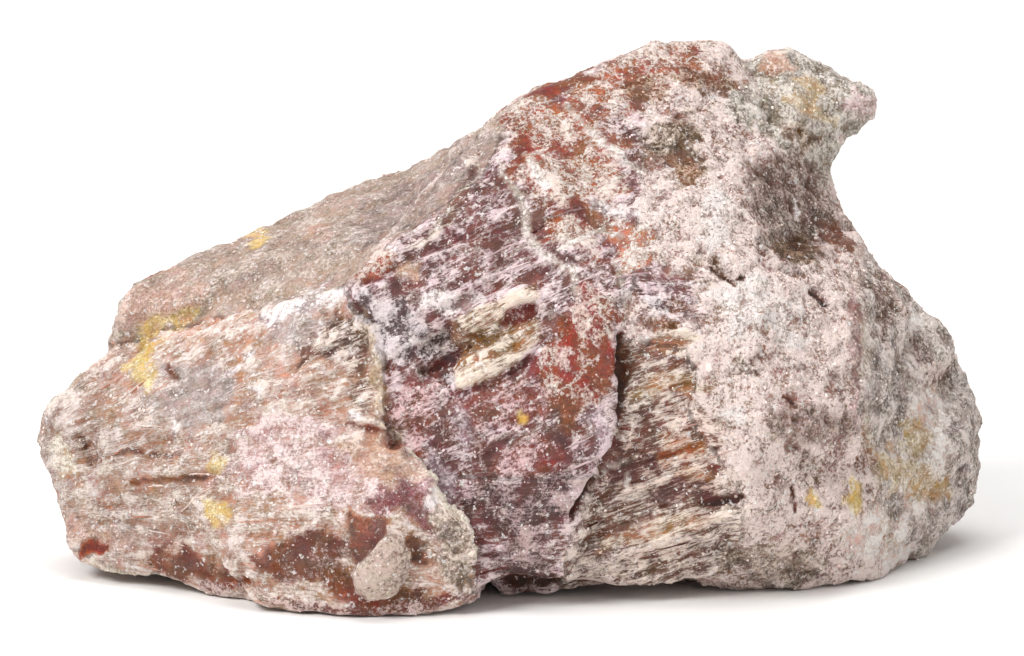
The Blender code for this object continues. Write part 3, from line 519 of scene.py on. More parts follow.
# %% Strokes on the flank and the horn
STROKES += [
    ("brown crust", (1.6, [(36.4, 5.6), (37.6, 3.2), (37.4, -0.6)]),
     (1.2, [(40.2, -1.2), (42.4, -4.8), (41, -7.6)])),
    ("flank pink", (0.9, [(39.6, 1.6), (41.6, 0.2)]), (2.6, [(41.8, -7.2), (40.8, -17.2)])),
    ("flank yellow", (1.5, [(36, -13), (39.2, -14.6), (43.8, -16.6)]), (1.4, [(39.2, -9.8), (41, -12)])),
    ("ochre stain", (0.8, [(33.8, -14.7), (34.4, -18.7)])),
    ("salmon beige", (1.3, [(25.2, 26), (27.8, 26.6)])),
    ("rust", (0.4, [(25.2, 25.4), (26.6, 25.8)])),
    ("flank yellow", (1.1, [(27.4, 23.4), (32, 21.4)]), (0.8, [(28.8, 24.6), (31, 23.6)])),
    ("grey olive", (1, [(27.6, 19.8), (30.2, 18.2)])),
    ("pink talc", (1.6, [(34.2, 24), (36, 21.4)])),
    ("maroon", (0.4, [(32.5, 19.4), (32.9, 19)])),
    ("horn grey", (1.6, [(22.3, 23.8), (24.8, 19.8)])),
]
print(len(STROKES), "groups of strokes so far")

# %% [markdown]
# ### The dark edge under the front
# Where the front turns under, away from the lamps, its shade is painted: a dark line under the middle, and
# maroon along the lobe's bottom edge.

# %% Strokes on the edge under the front
STROKES += [
    ("crack", (0.7, [(-0.6, -25.3), (4.6, -25)])),
    ("maroon", (0.7, [(-23.7, -27.6), (-17.2, -28.4), (-11.2, -28), (-3.2, -26.8)]),
     (0.6, [(-31.2, -25.4), (-27.2, -26.2)])),
]
print(len(STROKES), "groups of strokes so far")

# %% [markdown]
# ## Places with a sharp edge
# A few things end abruptly: two bundles of pale fibre that stick out of the block, the maroon pit between
# them, a waxy facet low on the lobe, and the flake that peels off it. They are outlines, laid over the rest.

# %% Outline the sharp places
UPPER_BUNDLE = [(-6.3, 0.6), (-4.2, 1.6), (-1.2, 2.8), (0.8, 3.8), (2.3, 4.7), (2.8, 2.8), (-0.7, 1.6),
                (-1.2, 0), (-2.7, -1.7), (-5, -2.2), (-6, -1.2)]
LOWER_BUNDLE = [(-5.4, -2.4), (-4.2, -1.5), (-1.2, -0.2), (2.3, 1), (3.1, 0.2), (2.6, -1.2), (0.8, -3.2),
                (-1.6, -4.9), (-5.3, -6.1), (-5.7, -4.2)]
MAROON_PIT = [(-1.2, 0.2), (-0.6, 1.7), (0.8, 2.6), (2.4, 2.6), (2.6, 1.5), (1.6, 0.8), (0, 0.1)]
FACET = [(-16.4, -18.4), (-14.6, -18.9), (-12.4, -19.2), (-12.6, -20.8), (-15, -23.6), (-15.8, -23.4),
         (-16.2, -21.4)]
FLAKE = [(-12.4, -20.2), (-11.2, -20.5), (-10.7, -21.7), (-10.1, -22.4), (-10.4, -24.2), (-11.4, -26.2),
         (-12.7, -27), (-14.4, -27.2), (-15.5, -26.4), (-16, -24.4), (-15.2, -23.4), (-13.7, -22)]
CRISP = [
    ("bundle fibre", UPPER_BUNDLE),
    ("cream fibre", LOWER_BUNDLE),
    ("maroon", MAROON_PIT),
    ("salmon wax", FACET),
    ("flake", FLAKE),
]
print(len(CRISP), "sharp places")

# %% [markdown]
# ## Painting
# The areas, strokes and sharp places are laid in turn, and clouds of noise push their edges about, so that
# none of them looks drawn. What can't be seen from the front gets the same finishes in large clouds, so that
# the back is as rich as the front. Last, the colour and the powder vary a little from place to place.

# %% Paint the skin
RAGGED = 0.9
MOST_RAGGED = 2.2
SWAY_LUMP = 2.6
SPATTER = 0.4
SPATTER_LUMP = 1.1
STROKE_TAPER = 0.55
STROKE_EDGE = (1.3, 0.5)
CRISP_EDGE = 0.2
WEATHER_SHADE = 0.45
SHADE_LUMP = 4
WEATHER_COVER = 0.1
COVER_LUMP = 3
FRONT_FACING = (-0.12, 0.16)
BEHIND = [("pink crust", 0.0), ("mauve", 0.25), ("brown fibre", 0.3), ("rust", 0.35), ("cream crust", 0.3),
          ("grey olive", 0.32), ("smooth rose", 0.3)]
BEHIND_LUMP = 13


def painted():
    """Each point's channels, from the areas and strokes in front and the clouds behind."""
    places = points / MM
    paint = np.tile(channels("tan fibre"), (len(points), 1))
    for number, (name, least) in enumerate(BEHIND):
        share = smooth_step(least - 0.08, least + 0.12, cloud(places, BEHIND_LUMP, number, 5))[:, None]
        paint = blend(paint, channels(name), share)
    u, v, _ = in_picture(points)
    sway = cloud(places, SWAY_LUMP, 21, 5)
    swing = cloud(places, SWAY_LUMP, 23, 5)
    spatter = cloud(places, SPATTER_LUMP, 25, 3)
    facing = normals @ np.array(TOWARDS)
    front = paint.copy()
    for name, soft, outline in AREAS:
        share = smooth_step(-soft, soft, inside(u + 0.5 * sway, v + 0.5 * swing, outline))[:, None]
        front = blend(front, channels(name), share)
    for name, *marks in STROKES:
        for width, line in marks:
            ragged = RAGGED * min(width, MOST_RAGGED)
            away, _, along = to_line(u + ragged * sway, v + ragged * swing, line)
            taper = 1 - STROKE_TAPER * np.abs(2 * along - 1) ** 3
            share = smooth_step(*STROKE_EDGE, away / (width * taper) + SPATTER * spatter)[:, None]
            front = blend(front, channels(name), share)
    for name, outline in CRISP:
        reach = inside(u + 0.1 * sway, v + 0.1 * swing, outline) + 0.15 * spatter
        share = smooth_step(-CRISP_EDGE, CRISP_EDGE, reach)[:, None]
        front = blend(front, channels(name), share)
    paint = blend(paint, front, smooth_step(*FRONT_FACING, facing + 0.1 * sway)[:, None])
    paint[:, BODY] *= np.exp(WEATHER_SHADE * cloud(places, SHADE_LUMP, 27, 4))[:, None]
    paint[:, COVER] += WEATHER_COVER * cloud(places, COVER_LUMP, 29, 4)
    return paint


paint = painted()
print("paint on", len(paint), "points")

# %% [markdown]
# ## The way of the fibres
# Talc fibres lie parallel within a block and turn from one block to the next. On the lobe they spread like a
# fan from a point far to its left. Each point of the skin gets its place along and across its own fibres, so
# that ridges and streaks follow them with no seam inside a block.

# %% Find the grain
FRINGE = [(-9, -15), (9, -15), (5.5, -22), (5, -28), (-3, -28)]
GRAINS = [
    # Degrees that the fibres rise to the right, and the area of the picture where they do.
    (27, BLOCK),
    (19, RECESS),
    (4, FRINGE),
]
FAN = (-64, -18.5)
FAN_REACH = 45


def rise_of(u, v):
    """The angle at which the fibres rise to the right, at places in the picture."""
    rise = np.arctan2(v - FAN[1], u - FAN[0])
    for degrees, outline in GRAINS:
        rise = np.where(inside(u, v, outline) > 0, math.radians(degrees), rise)
    return rise


def grain_places():
    """Places in mm along the fibres, across them, and into the stone."""
    u, v, near = in_picture(points)
    grain = (points / MM)[:, [0, 2, 1]]
    facing = normals @ np.array(TOWARDS) > -0.1
    lobe = facing & (inside(u, v, LOBE) > 0)
    reach = np.hypot(u - FAN[0], v - FAN[1])
    across = FAN_REACH * np.arctan2(v - FAN[1], u - FAN[0])
    grain[lobe] = np.stack([reach, across, near], 1)[lobe]
    for degrees, outline in GRAINS:
        turn = math.radians(degrees)
        here = facing & (inside(u, v, outline) > 0)
        along = u * math.cos(turn) + v * math.sin(turn)
        across = v * math.cos(turn) - u * math.sin(turn)
        grain[here] = np.stack([along, across, near], 1)[here]
    return grain


grain = grain_places()
print("the fibres run along", round(float(np.ptp(grain[:, 0]))), "mm")

# %% [markdown]
# ## Cuts, raised places and lips
# Between the blocks the stone has cracks, and the crust has slits and holes. The bundles and the flake stand
# out, the maroon pit lies in, and a block's broken end stands over its neighbour like a lip. All are drawn in
# the picture, because that is where they can be seen, and go in along the skin's own normals.

# %% List the cuts, raised places and lips
CUTS = [
    # Depth and half a width in mm, and a line. First, down the right of the crest, to the foot of the recess.
    (1.2, 0.45, [(11, -0.2), (11.3, -1.7), (11.1, -3.4), (11.4, -5), (11, -7)]),
    (0.9, 0.45, [(11, -7), (11.1, -9.7), (10.4, -12), (8.8, -15)]),
    (1.2, 0.5, [(8.8, -15), (7.6, -16.5), (6.2, -18.8)]),
    # Slits and holes in the crust.
    (0.4, 0.35, [(18.8, -17.6), (21, -17.4), (23, -17)]),
    (0.5, 0.3, [(20, 5.9), (21.2, 5), (22.4, 4)]),
    (0.5, 0.3, [(29.8, 4), (30.8, 3.4), (31.8, 2.4)]),
    (0.35, 0.35, [(22.8, 5.2), (23.2, 4.8)]),
    (0.25, 0.3, [(27.2, -6.6), (27.8, -7.2), (28.6, -8)]),
    (0.25, 0.25, [(27.9, -15), (27.8, -16.6), (28.3, -18.6)]),
    (0.25, 0.35, [(34.6, 2.8), (35, -0.2), (34.7, -4.2), (35.1, -8.2)]),
    # Around the fibre bundles in the middle.
    (0.7, 0.6, [(-8.7, -2.2), (-6.7, -1), (-5, 0.6)]),
    (0.6, 0.5, [(-8.4, -4), (-6.2, -3), (-4.2, -1.7)]),
    (0.9, 0.4, [(-5, -2), (-1.2, -0.8), (2.8, 1)]),
    (0.4, 0.35, [(-5.6, -6.6), (-1.4, -5.3), (1.2, -3.5), (3.2, -1.4)]),
    (0.8, 0.5, [(-7.2, 1.6), (-4.2, 3.2), (-0.7, 4.8)]),
    # Along the lobe.
    (0.25, 0.35, [(-38.4, -15.6), (-36.7, -15.3), (-34.2, -15.2), (-29.7, -14.8)]),
    (0.3, 0.4, [(-39, -12.3), (-36.4, -12.6), (-32.7, -12.7)]),
    (0.3, 0.8, [(-43.2, -10.6), (-42.8, -12.7), (-42, -14.2)]),
    (0.4, 0.6, [(-14.6, -10.4), (-13.4, -10.9)]),
    (0.6, 0.5, [(-12.4, -11.8), (-11, -11.8)]),
    (0.9, 0.6, [(-27.4, -24.4), (-26.8, -26.2), (-26.4, -27.6)]),
]
RAISED = [(0.25, UPPER_BUNDLE), (0.3, LOWER_BUNDLE), (0.5, FLAKE), (-0.7, MAROON_PIT), (-0.3, FACET)]
LIPS = [
    # Height and reach in mm, and a line whose left side stands up, or sinks where the height is below 0.
    # The lobe's broken end, and its shelf over the fringe.
    (0.7, 1.3, [(-12.8, -11.2), (-12.8, -3.2), (-13.7, -0.2), (-15.4, 1.8), (-16.7, 3.8)]),
    (0.9, 1.2, [(-3.4, -25.2), (-4.6, -20.2), (-6.7, -17.4), (-8.7, -15), (-10.7, -12.2), (-12.4, -11.2)]),
    (-0.5, 0.9, [(-9.7, -4.4), (-7.7, -4.7), (-6.4, -6.2), (-6.2, -7.4)]),
    # The bundles, standing out of the block, and the lip over the hollow.
    (0.3, 1, [(3, -1.2), (-1.4, -4.9), (-5.4, -6.1)]),
    (0.5, 0.8, [(-5.7, -4.4), (-1.2, -2.2), (2.8, 0.6)]),
    (0.5, 0.9, [(22.8, 11.8), (24.7, 8.4), (26.2, 6.2), (28.8, 5.6), (31, 6.2)]),
]
print(len(CUTS), "cuts,", len(RAISED), "raised places,", len(LIPS), "lips")

# %% [markdown]
# ## Carving
# Fibres stand as fine ridges that run with the grain, crusts are lumpy and pitted, and waxy places stay
# smooth. How much of each a point gets is read from its paint, so that relief and colour agree everywhere.
# Points that would sink below the floor are kept on it, so the stone keeps its flat resting spot.

# %% Carve
# Each height in mm has the size of its noise in mm, which for the ridges is along, across and into the grain.
LUMPS, LUMP_SIZE = 0.45, 3.2
RIDGES, RIDGE_SIZE = 0.5, (9, 0.9, 3)
CRUST, CRUST_SIZE = 0.34, 1.1
PIT_DEPTH, PIT_SIZE = 0.8, 1.4
PIT_EDGE = (0.3, 0.62)
WAX_SMOOTHS = 0.6
SWAY, SWAY_SIZE = 0.35, 1.6
RAISED_EDGE = 0.25


def carve():
    """The skin's points, moved along their normals by what the paint says is there and by the drawn lines."""
    places = points / MM
    u, v, _ = in_picture(points)
    wax, fibre, pits = paint[:, [WAX, FIBRE, PITS]].T
    rough = 1 - WAX_SMOOTHS * wax
    height = LUMPS * cloud(places, LUMP_SIZE, 1) * rough
    height += RIDGES * fibre * cloud(grain / RIDGE_SIZE, 1, 2)
    height += CRUST * (1 - fibre) * rough * (0.45 + pits) * cloud(places, CRUST_SIZE, 3)
    hole = smooth_step(*PIT_EDGE, cloud(places, PIT_SIZE, 4, 2))
    height -= PIT_DEPTH * pits * hole
    seen = smooth_step(0.0, 0.3, normals @ np.array(TOWARDS))
    sway = SWAY * cloud(places, SWAY_SIZE, 5)
    for depth, width, line in CUTS:
        away, _, along = to_line(u + sway, v + sway, line)
        taper = np.sqrt(np.clip(1 - (2 * along - 1) ** 4, 0, 1)) + 0.2
        height -= depth * seen * taper * np.exp(-((away / (width * taper)) ** 2))
    for rise, outline in RAISED:
        reach = inside(u + 0.3 * sway, v + 0.3 * sway, outline)
        height += rise * seen * smooth_step(-RAISED_EDGE, RAISED_EDGE, reach)
    for rise, run, line in LIPS:
        away, side, along = to_line(u + sway, v + sway, line)
        ends = np.clip(1 - (2 * along - 1) ** 6, 0, 1)
        height += rise * seen * ends * (side > 0) * np.exp(-away / run)
        height -= 0.5 * rise * seen * ends * (side <= 0) * np.exp(-away / (0.6 * run))
    moved = points + normals * height[:, None] * MM
    moved[:, 2] = np.maximum(moved[:, 2], 0)
    return moved


write_skin(carve())
for face in stone.data.polygons:
    face.use_smooth = True
points, normals = read_skin()
print("carved down to", round(float(points[:, 2].min()) / MM, 2), "mm above the floor")

# %% [markdown]
# ## What stands proud
# Powder is laid thickest on small ridges and lumps, partly as a painted highlight, and hollows are painted
# dark as their shade. To know which is which, the skin is compared with a copy in which each point has moved
# to the mean of its neighbours a few times.

# %% Measure what stands proud
PROUD_ROUNDS = 7


def proud_of_surroundings():
    """How far in mm each point stands above the mean of its surroundings, below 0 in a hollow."""
    ends = np.empty(2 * len(stone.data.edges), int)
    stone.data.edges.foreach_get("vertices", ends)
    start, end = ends.reshape(-1, 2).T
    neighbours = np.bincount(ends, minlength=len(points))
    soft = points.copy()
    for _ in range(PROUD_ROUNDS):
        ahead = [np.bincount(start, soft[end, axis], len(points)) for axis in range(3)]
        behind = [np.bincount(end, soft[start, axis], len(points)) for axis in range(3)]
        soft = ((np.array(ahead) + np.array(behind)) / neighbours).T
    return ((points - soft) * normals).sum(1) / MM


proud = proud_of_surroundings()
print("stands proud by", np.round(np.percentile(proud, (5, 25, 50, 75, 95)), 3), "mm")

# %% [markdown]
# ## What the skin carries to its material
# The material can't know where the lobe or the crest is, so the paint goes with the mesh as attributes: the
# body colour, the powder's colour, and the seven amounts. The grain goes too, so that streaks follow the
# fibres, and how far each point stands proud, so that powder lies on ridges, partly as a painted highlight,
# and hollows get painted shade.

# %% Store the attributes
MOST_PROUD = 0.4


def store(mesh, name, kind, values):
    layer = mesh.attributes.new(name, kind, "POINT")
    key = {"FLOAT_COLOR": "color", "FLOAT_VECTOR": "vector", "FLOAT": "value"}[kind]
    layer.data.foreach_set(key, np.ascontiguousarray(values, np.float32).ravel())


ones = np.ones((len(points), 1))
store(stone.data, "body", "FLOAT_COLOR", np.hstack([paint[:, BODY], ones]))
store(stone.data, "dust", "FLOAT_COLOR", np.hstack([paint[:, DUST], ones]))
for column, name in enumerate(AMOUNTS, COVER):
    store(stone.data, name, "FLOAT", paint[:, column])
store(stone.data, "grain", "FLOAT_VECTOR", grain)
store(stone.data, "proud", "FLOAT", np.clip(proud, -MOST_PROUD, MOST_PROUD))
print([layer.name for layer in stone.data.attributes])

# %% [markdown]
# ## The material: talc under its own powder
# Soapstone is mostly talc, so soft that rubbing powders it. Clean breaks are waxy, with an IOR near 1.57 and
# a dull shine, and the powder is matt and nearly white. One material makes all the finishes, because it reads
# them from the skin. Its nodes are added step by step below, each by the same small function.

# %% Start the material


def add(tree, kind, inputs=None, **settings):
    """Adds a shader node. An input gets a value, or a link from a socket or from a node's first output."""
    made = tree.nodes.new("ShaderNode" + kind)
    for name, value in settings.items():
        setattr(made, name, value)
    for socket, value in (inputs or {}).items():
        if isinstance(value, bpy.types.Node):
            value = next(output for output in value.outputs if output.enabled)
        if isinstance(value, bpy.types.NodeSocket):
            tree.links.new(value, made.inputs[socket])
        else:
            made.inputs[socket].default_value = value
    return made


talc = bpy.data.materials.new("talc_soapstone_rough_broken")
talc.use_nodes = True
tree = talc.node_tree
shader = tree.nodes["Principled BSDF"]
place = add(tree, "TexCoord").outputs["Object"]
along_grain = add(tree, "Attribute", attribute_name="grain").outputs["Vector"]
body, dust, cover, wax, fibre, pits, veins, haze, clump, stands = (
    add(tree, "Attribute", attribute_name=name) for name in (*Finish._fields, "proud")
)
print(len(tree.nodes), "nodes read the skin")

# %% [markdown]
# ## Patterns of the powder
# Powder lies in streaks along fibres and in specks elsewhere, both a few tenths of a millimetre wide. Those
# are noise, read along the grain or in plain space. A coarser noise gathers them in patches, and a third one
# makes them bolder here and fainter there, as drifted powder is.

# %% Make streaks, specks and patches
SPECK = 0.34
PATCH = 2.4
DRIFT = 2.8
STREAKS_PER_MM = (0.8, 4.4, 2.4)

along = add(tree, "Mapping", {"Vector": along_grain, "Scale": STREAKS_PER_MM})
streaks = add(tree, "TexNoise", {"Vector": along, "Scale": 1.0, "Detail": 3.0, "Roughness": 0.75})
specks = add(tree, "TexNoise", {"Vector": place, "Scale": 1 / (SPECK * MM), "Detail": 3.0, "Roughness": 0.8})
patches = add(tree, "TexNoise", {"Vector": place, "Scale": 1 / (PATCH * MM), "Detail": 4.0, "Roughness": 0.75,
                                 "Distortion": 0.3})
drift = add(tree, "TexNoise", {"Vector": place, "Scale": 1 / (DRIFT * MM), "Detail": 3.0, "Roughness": 0.6})
streak_share = add(tree, "Math", {0: fibre, 1: 0.8}, operation="MULTIPLY")
fine = add(tree, "Mix", {0: streak_share, 2: specks, 3: streaks})
lump = add(tree, "Math", {0: patches, 1: 0.5}, operation="SUBTRACT")
grit = add(tree, "Math", {0: fine, 1: 0.5}, operation="SUBTRACT")
grittiness = add(tree, "MapRange", {"Value": drift, "From Min": 0.35, "From Max": 0.65, "To Min": 0.8,
                                    "To Max": 1.8})
print(len(tree.nodes), "nodes")

# %% [markdown]
# ## Where the powder lies
# The patterns, the cover and what stands proud add up to one level. Where it passes a threshold there is a
# film of powder, and above a higher one it lies thick. On a hazy finish the film starts lower and grows more
# slowly. Where the level is low, in crevices and hollows, the body is darkened as painted shade.

# %% Turn the level to powder
PROUD_SHARE = 0.5
HAZY, CLEAR, DUSTED, THICK = 0.78, 0.92, 1.03, 1.13

level = add(tree, "Math", {0: lump, 1: clump, 2: 0.5}, operation="MULTIPLY_ADD")
level = add(tree, "Math", {0: grit, 1: grittiness, 2: level}, operation="MULTIPLY_ADD")
level = add(tree, "Math", {0: stands, 1: PROUD_SHARE, 2: level}, operation="MULTIPLY_ADD")
level = add(tree, "Math", {0: level, 1: cover}, operation="ADD")
film = add(tree, "MapRange", {"Value": level, "From Min": CLEAR, "From Max": DUSTED, "To Max": 0.75})
thin = add(tree, "MapRange", {"Value": level, "From Min": HAZY, "From Max": 1.0, "To Max": 0.55})
thick = add(tree, "MapRange", {"Value": level, "From Min": DUSTED, "From Max": THICK})
crisp = add(tree, "Math", {0: thick, 1: 0.25, 2: film}, operation="MULTIPLY_ADD")
soft = add(tree, "Math", {0: thick, 1: 0.45, 2: thin}, operation="MULTIPLY_ADD")
powder = add(tree, "Mix", {0: haze, 2: crisp, 3: soft})
# Painted shade: where the level is low the body turns towards a dark brown, as in shaded crevices.
crevice_shade = add(tree, "MapRange", {"Value": level, "From Min": 0.82, "From Max": 0.58, "To Max": 0.5})
print(len(tree.nodes), "nodes")

# %% [markdown]
# ## The body's colour
# No stain is even. The body varies in brightness from millimetre to millimetre, it is redder where powder
# gathers, and its hue turns a little to either side. Crevices get a dark brown, painted as their shade.

# %% Shade the body
MOTTLE = 1.1
# The dark brown of the painted shade in crevices.
CREVICE_SHADE_BROWN = (*linear("#3A211A"), 1)

cloudy = add(tree, "TexNoise", {"Vector": place, "Scale": 1 / (MOTTLE * MM), "Detail": 3.0,
                                "Roughness": 0.65})
shade = add(tree, "MapRange", {"Value": cloudy, "From Min": 0.3, "From Max": 0.7, "To Min": 0.65,
                               "To Max": 1.35})
redness = add(tree, "MapRange", {"Value": patches, "From Min": 0.35, "From Max": 0.65, "To Min": 0.9,
                                 "To Max": 1.35})
turn = add(tree, "MapRange", {"Value": drift, "From Min": 0.35, "From Max": 0.65, "To Min": 0.489,
                              "To Max": 0.521})
uneven = add(tree, "HueSaturation", {"Hue": turn, "Value": shade, "Saturation": redness, "Color": body})
uneven = add(tree, "Mix", {0: crevice_shade, 6: uneven, 7: CREVICE_SHADE_BROWN}, data_type="RGBA")
print(len(tree.nodes), "nodes")

# %% [markdown]
# ## The powder's colour
# Powder is paler where it is thicker. On top of it lie flecks of clean talc, over half a millimetre wide and
# nearly white, more of them where there is more powder.

# %% Lay the powder and its flecks
FLECK = 0.6
FLECK_WHITE = (*linear("#FCF5F2"), 1)

thickness = add(tree, "MapRange", {"Value": specks, "From Min": 0.3, "From Max": 0.7, "To Min": 0.88,
                                   "To Max": 1.08})
powdery = add(tree, "HueSaturation", {"Value": thickness, "Saturation": 1.06, "Color": dust})
colour = add(tree, "Mix", {0: powder, 6: uneven, 7: powdery}, data_type="RGBA")
flecks = add(tree, "TexNoise", {"Vector": place, "Scale": 1 / (FLECK * MM), "Detail": 2.0, "Roughness": 0.7})
lit = add(tree, "MapRange", {"Value": flecks, "From Min": 0.63, "From Max": 0.66})
lit = add(tree, "Math", {0: lit, 1: cover}, operation="MULTIPLY")
lit = add(tree, "Math", {0: lit, 1: 1.7}, operation="MULTIPLY", use_clamp=True)
colour = add(tree, "Mix", {0: lit, 6: colour, 7: FLECK_WHITE}, data_type="RGBA")
print(len(tree.nodes), "nodes")

# %% [markdown]
# ## Veins and pits
# Thin pale veins run through the rusty places. They are the edges of Voronoi cells 4 mm wide, bent by the
# patches' own noise and broken up, as straight edges would look like tiles. Pits are small holes where
# another noise is low, sunk in the bump and painted dark brown as the shade in them. Last, a little colour
# noise goes over everything.

# %% Draw the veins and pits
VEIN_CELL = 4.0
VEIN_BEND = (4 * MM, 4 * MM, 4 * MM)
VEIN_CREAM = (*linear("#F6E9DF"), 1)
PIT = 0.8
# The brown painted as the shade inside the pits.
PIT_SHADE_BROWN = (*linear("#5A3F35"), 1)

warp = add(tree, "VectorMath", {0: patches.outputs["Color"], 1: VEIN_BEND, 2: place},
           operation="MULTIPLY_ADD")
cells = add(tree, "TexVoronoi", {"Vector": warp, "Scale": 1 / (VEIN_CELL * MM)}, feature="DISTANCE_TO_EDGE")
vein = add(tree, "MapRange", {"Value": cells, "From Min": 0.045, "From Max": 0.015})
broken = add(tree, "MapRange", {"Value": specks, "From Min": 0.36, "From Max": 0.5})
vein = add(tree, "Math", {0: vein, 1: broken}, operation="MULTIPLY")
vein = add(tree, "Math", {0: vein, 1: veins}, operation="MULTIPLY")
colour = add(tree, "Mix", {0: vein, 6: colour, 7: VEIN_CREAM}, data_type="RGBA")
holes = add(tree, "TexNoise", {"Vector": place, "Scale": 1 / (PIT * MM), "Detail": 3.0, "Roughness": 0.75})
sunk = add(tree, "MapRange", {"Value": holes, "From Min": 0.41, "From Max": 0.34})
sunk = add(tree, "Math", {0: sunk, 1: pits}, operation="MULTIPLY")
# Painted shade: the pits are darkened towards that brown.
colour = add(tree, "Mix", {0: sunk, 6: colour, 7: PIT_SHADE_BROWN}, data_type="RGBA")
colour = add(tree, "Mix", {0: 0.12, 6: colour, 7: cloudy.outputs["Color"]}, data_type="RGBA",
             blend_type="OVERLAY")
tree.links.new(colour.outputs[2], shader.inputs["Base Color"])
print(len(tree.nodes), "nodes")

# %% [markdown]
# ## Shine and the finest relief
# Bare waxy talc shines a little, and powder is matt. The streaks and specks are too fine for the skin's
# squares, so they are bump, a little higher where powder lies and sunk in the pits. Then the skin takes the
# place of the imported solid, and rides on its body.

# %% Set the shine and relief
MATT = 0.82
WAXY = 0.3
TALC_IOR = 1.57
RELIEF = 0.45

bare = add(tree, "Math", {0: 1.0, 1: powder}, operation="SUBTRACT")
gloss = add(tree, "Math", {0: wax, 1: bare}, operation="MULTIPLY")
rough = add(tree, "MapRange", {"Value": gloss, "To Min": MATT, "To Max": WAXY})
tree.links.new(rough.outputs[0], shader.inputs["Roughness"])
shader.inputs["IOR"].default_value = TALC_IOR
height = add(tree, "Math", {0: powder, 1: 0.25, 2: fine}, operation="MULTIPLY_ADD")
height = add(tree, "Math", {0: sunk, 1: -0.8, 2: height}, operation="MULTIPLY_ADD")
bump = add(tree, "Bump", {"Height": height, "Distance": RELIEF * MM, "Strength": 1.0})
tree.links.new(bump.outputs[0], shader.inputs["Normal"])

stone.data.materials.clear()
stone.data.materials.append(talc)
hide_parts(NODE)
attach(stone, "root")
print("finish on", stone.name)

# %% [markdown]
# ## Splinters
# Where the talc broke along its grain, thin laths of it stand free of the surface. They are finer than the
# skin's squares, so they are small things of their own, set on spots of the skin that are drawn at random.
# They are made a handful at a time, because a mesh operator walks over the whole of a mesh that it works on.

# %% Helpers for things that lie on the skin
SEED = 7
HANDFUL = 24
TINT_SPREAD = (0.85, 1.12)
chance = np.random.default_rng(SEED)
points, normals = read_skin()
skin_tree = BVHTree.FromPolygons([Vector(p) for p in points], [f.vertices for f in stone.data.polygons])


def pick(weights, count):
    """Indexes of skin points, drawn at random by weight."""
    return chance.choice(len(weights), count, p=weights / weights.sum())


def gather(name, spots, make_one):
    """Makes one small thing on each spot of the skin, and joins them in one object."""
    whole = bmesh.new()
    for start in range(0, len(spots), HANDFUL):
        some = bmesh.new()
        tint = some.verts.layers.float_color.new("tint")
        for spot in spots[start : start + HANDFUL]:
            make_one(some, tint, spot)
        bmesh.ops.recalc_face_normals(some, faces=some.faces)
        part = bpy.data.meshes.new("handful")
        some.to_mesh(part)
        whole.from_mesh(part)
        bpy.data.meshes.remove(part)
        some.free()
    mesh = bpy.data.meshes.new(name)
    whole.to_mesh(mesh)
    whole.free()
    return new_object(name, mesh)


def shade_between(spot, low, high):
    """A colour between the body and the powder at that spot."""
    share = chance.uniform(low, high)
    return (*blend(paint[spot, BODY], paint[spot, DUST], share) * chance.uniform(*TINT_SPREAD), 1)


print("a tree of", len(stone.data.polygons), "squares to set things on")

# %% [markdown]
# ## One splinter at a time
# A splinter is a three-sided prism, cut into rings so that it can bend. Each ring is laid on the nearest spot
# of the skin, along the grain, and the ends are narrowed. Its colour lies between the stain and the powder.

# %% Lay the splinters
SPLINTERS = 3600
LATH_RINGS = 4
LATH_LENGTH = (1.2, 5.0)
LATH_WIDTH = (0.14, 0.34)
LATH_LIFT = (0.25, 0.6)
LATH_SHADES = (-0.15, 1.0)


def lath(some, tint, spot):
    """One splinter, bent along the skin."""
    place = Vector(points[spot])
    normal = Vector(normals[spot])
    if normal.dot(TOWARDS) > -0.1:
        u, v, _ = in_picture(points[spot : spot + 1])
        rise = float(rise_of(u, v)[0]) + chance.normal(0, 0.05)
        way = RIGHT * math.cos(rise) + UP * math.sin(rise)
    else:
        way = RIGHT + UP * chance.normal(0, 0.1)
    way = (way - normal * way.dot(normal)).normalized()
    length = chance.uniform(*LATH_LENGTH) * MM
    width = chance.uniform(*LATH_WIDTH) * MM
    lift = width * chance.uniform(*LATH_LIFT)
    colour = shade_between(spot, *LATH_SHADES)
    before = set(some.verts)
    ends = bmesh.ops.create_cone(some, cap_ends=True, segments=3, radius1=0.5, radius2=0.5, depth=1)["verts"]
    long_edges = {e for v in ends for e in v.link_edges if abs(e.verts[0].co.z - e.verts[1].co.z) > 0.5}
    bmesh.ops.subdivide_edges(some, edges=list(long_edges), cuts=LATH_RINGS - 1)
    for v in set(some.verts) - before:
        along = v.co.z
        hit, up, _, _ = skin_tree.find_nearest(place + way * along * length)
        across = way.cross(up)
        narrow = 1 - 0.75 * abs(2 * along) ** 3
        v.co = hit + across * v.co.x * width * narrow + up * ((v.co.y + 0.15) * lift * narrow * 2)
        v[tint] = colour


fibrous = paint[:, FIBRE]
fibre_share = fibrous * smooth_step(0.6, 0.9, fibrous + 0.25 * cloud(points / MM, 5, 31))
splinters = gather("talc_splinters", pick(fibre_share**2, SPLINTERS), lath)
print(len(splinters.data.polygons), "faces in", SPLINTERS, "splinters")

# %% [markdown]
# ## Crumbs
# Powder gathers into crumbs about a fifth of a millimetre across, most where the surface is dusty and least
# where it is waxy. Each is a ball of twenty faces, flattened, turned and knocked out of shape, and partly
# sunk in the skin. A few are over twice that size.

# %% Scatter the crumbs
CRUMBS = 7000
CRUMB_RADIUS = (0.05, 0.16)
CRUMB_SHADES = (0.7, 1.1)
BIG_SHARE = 0.006
BIG_TIMES = 2.2


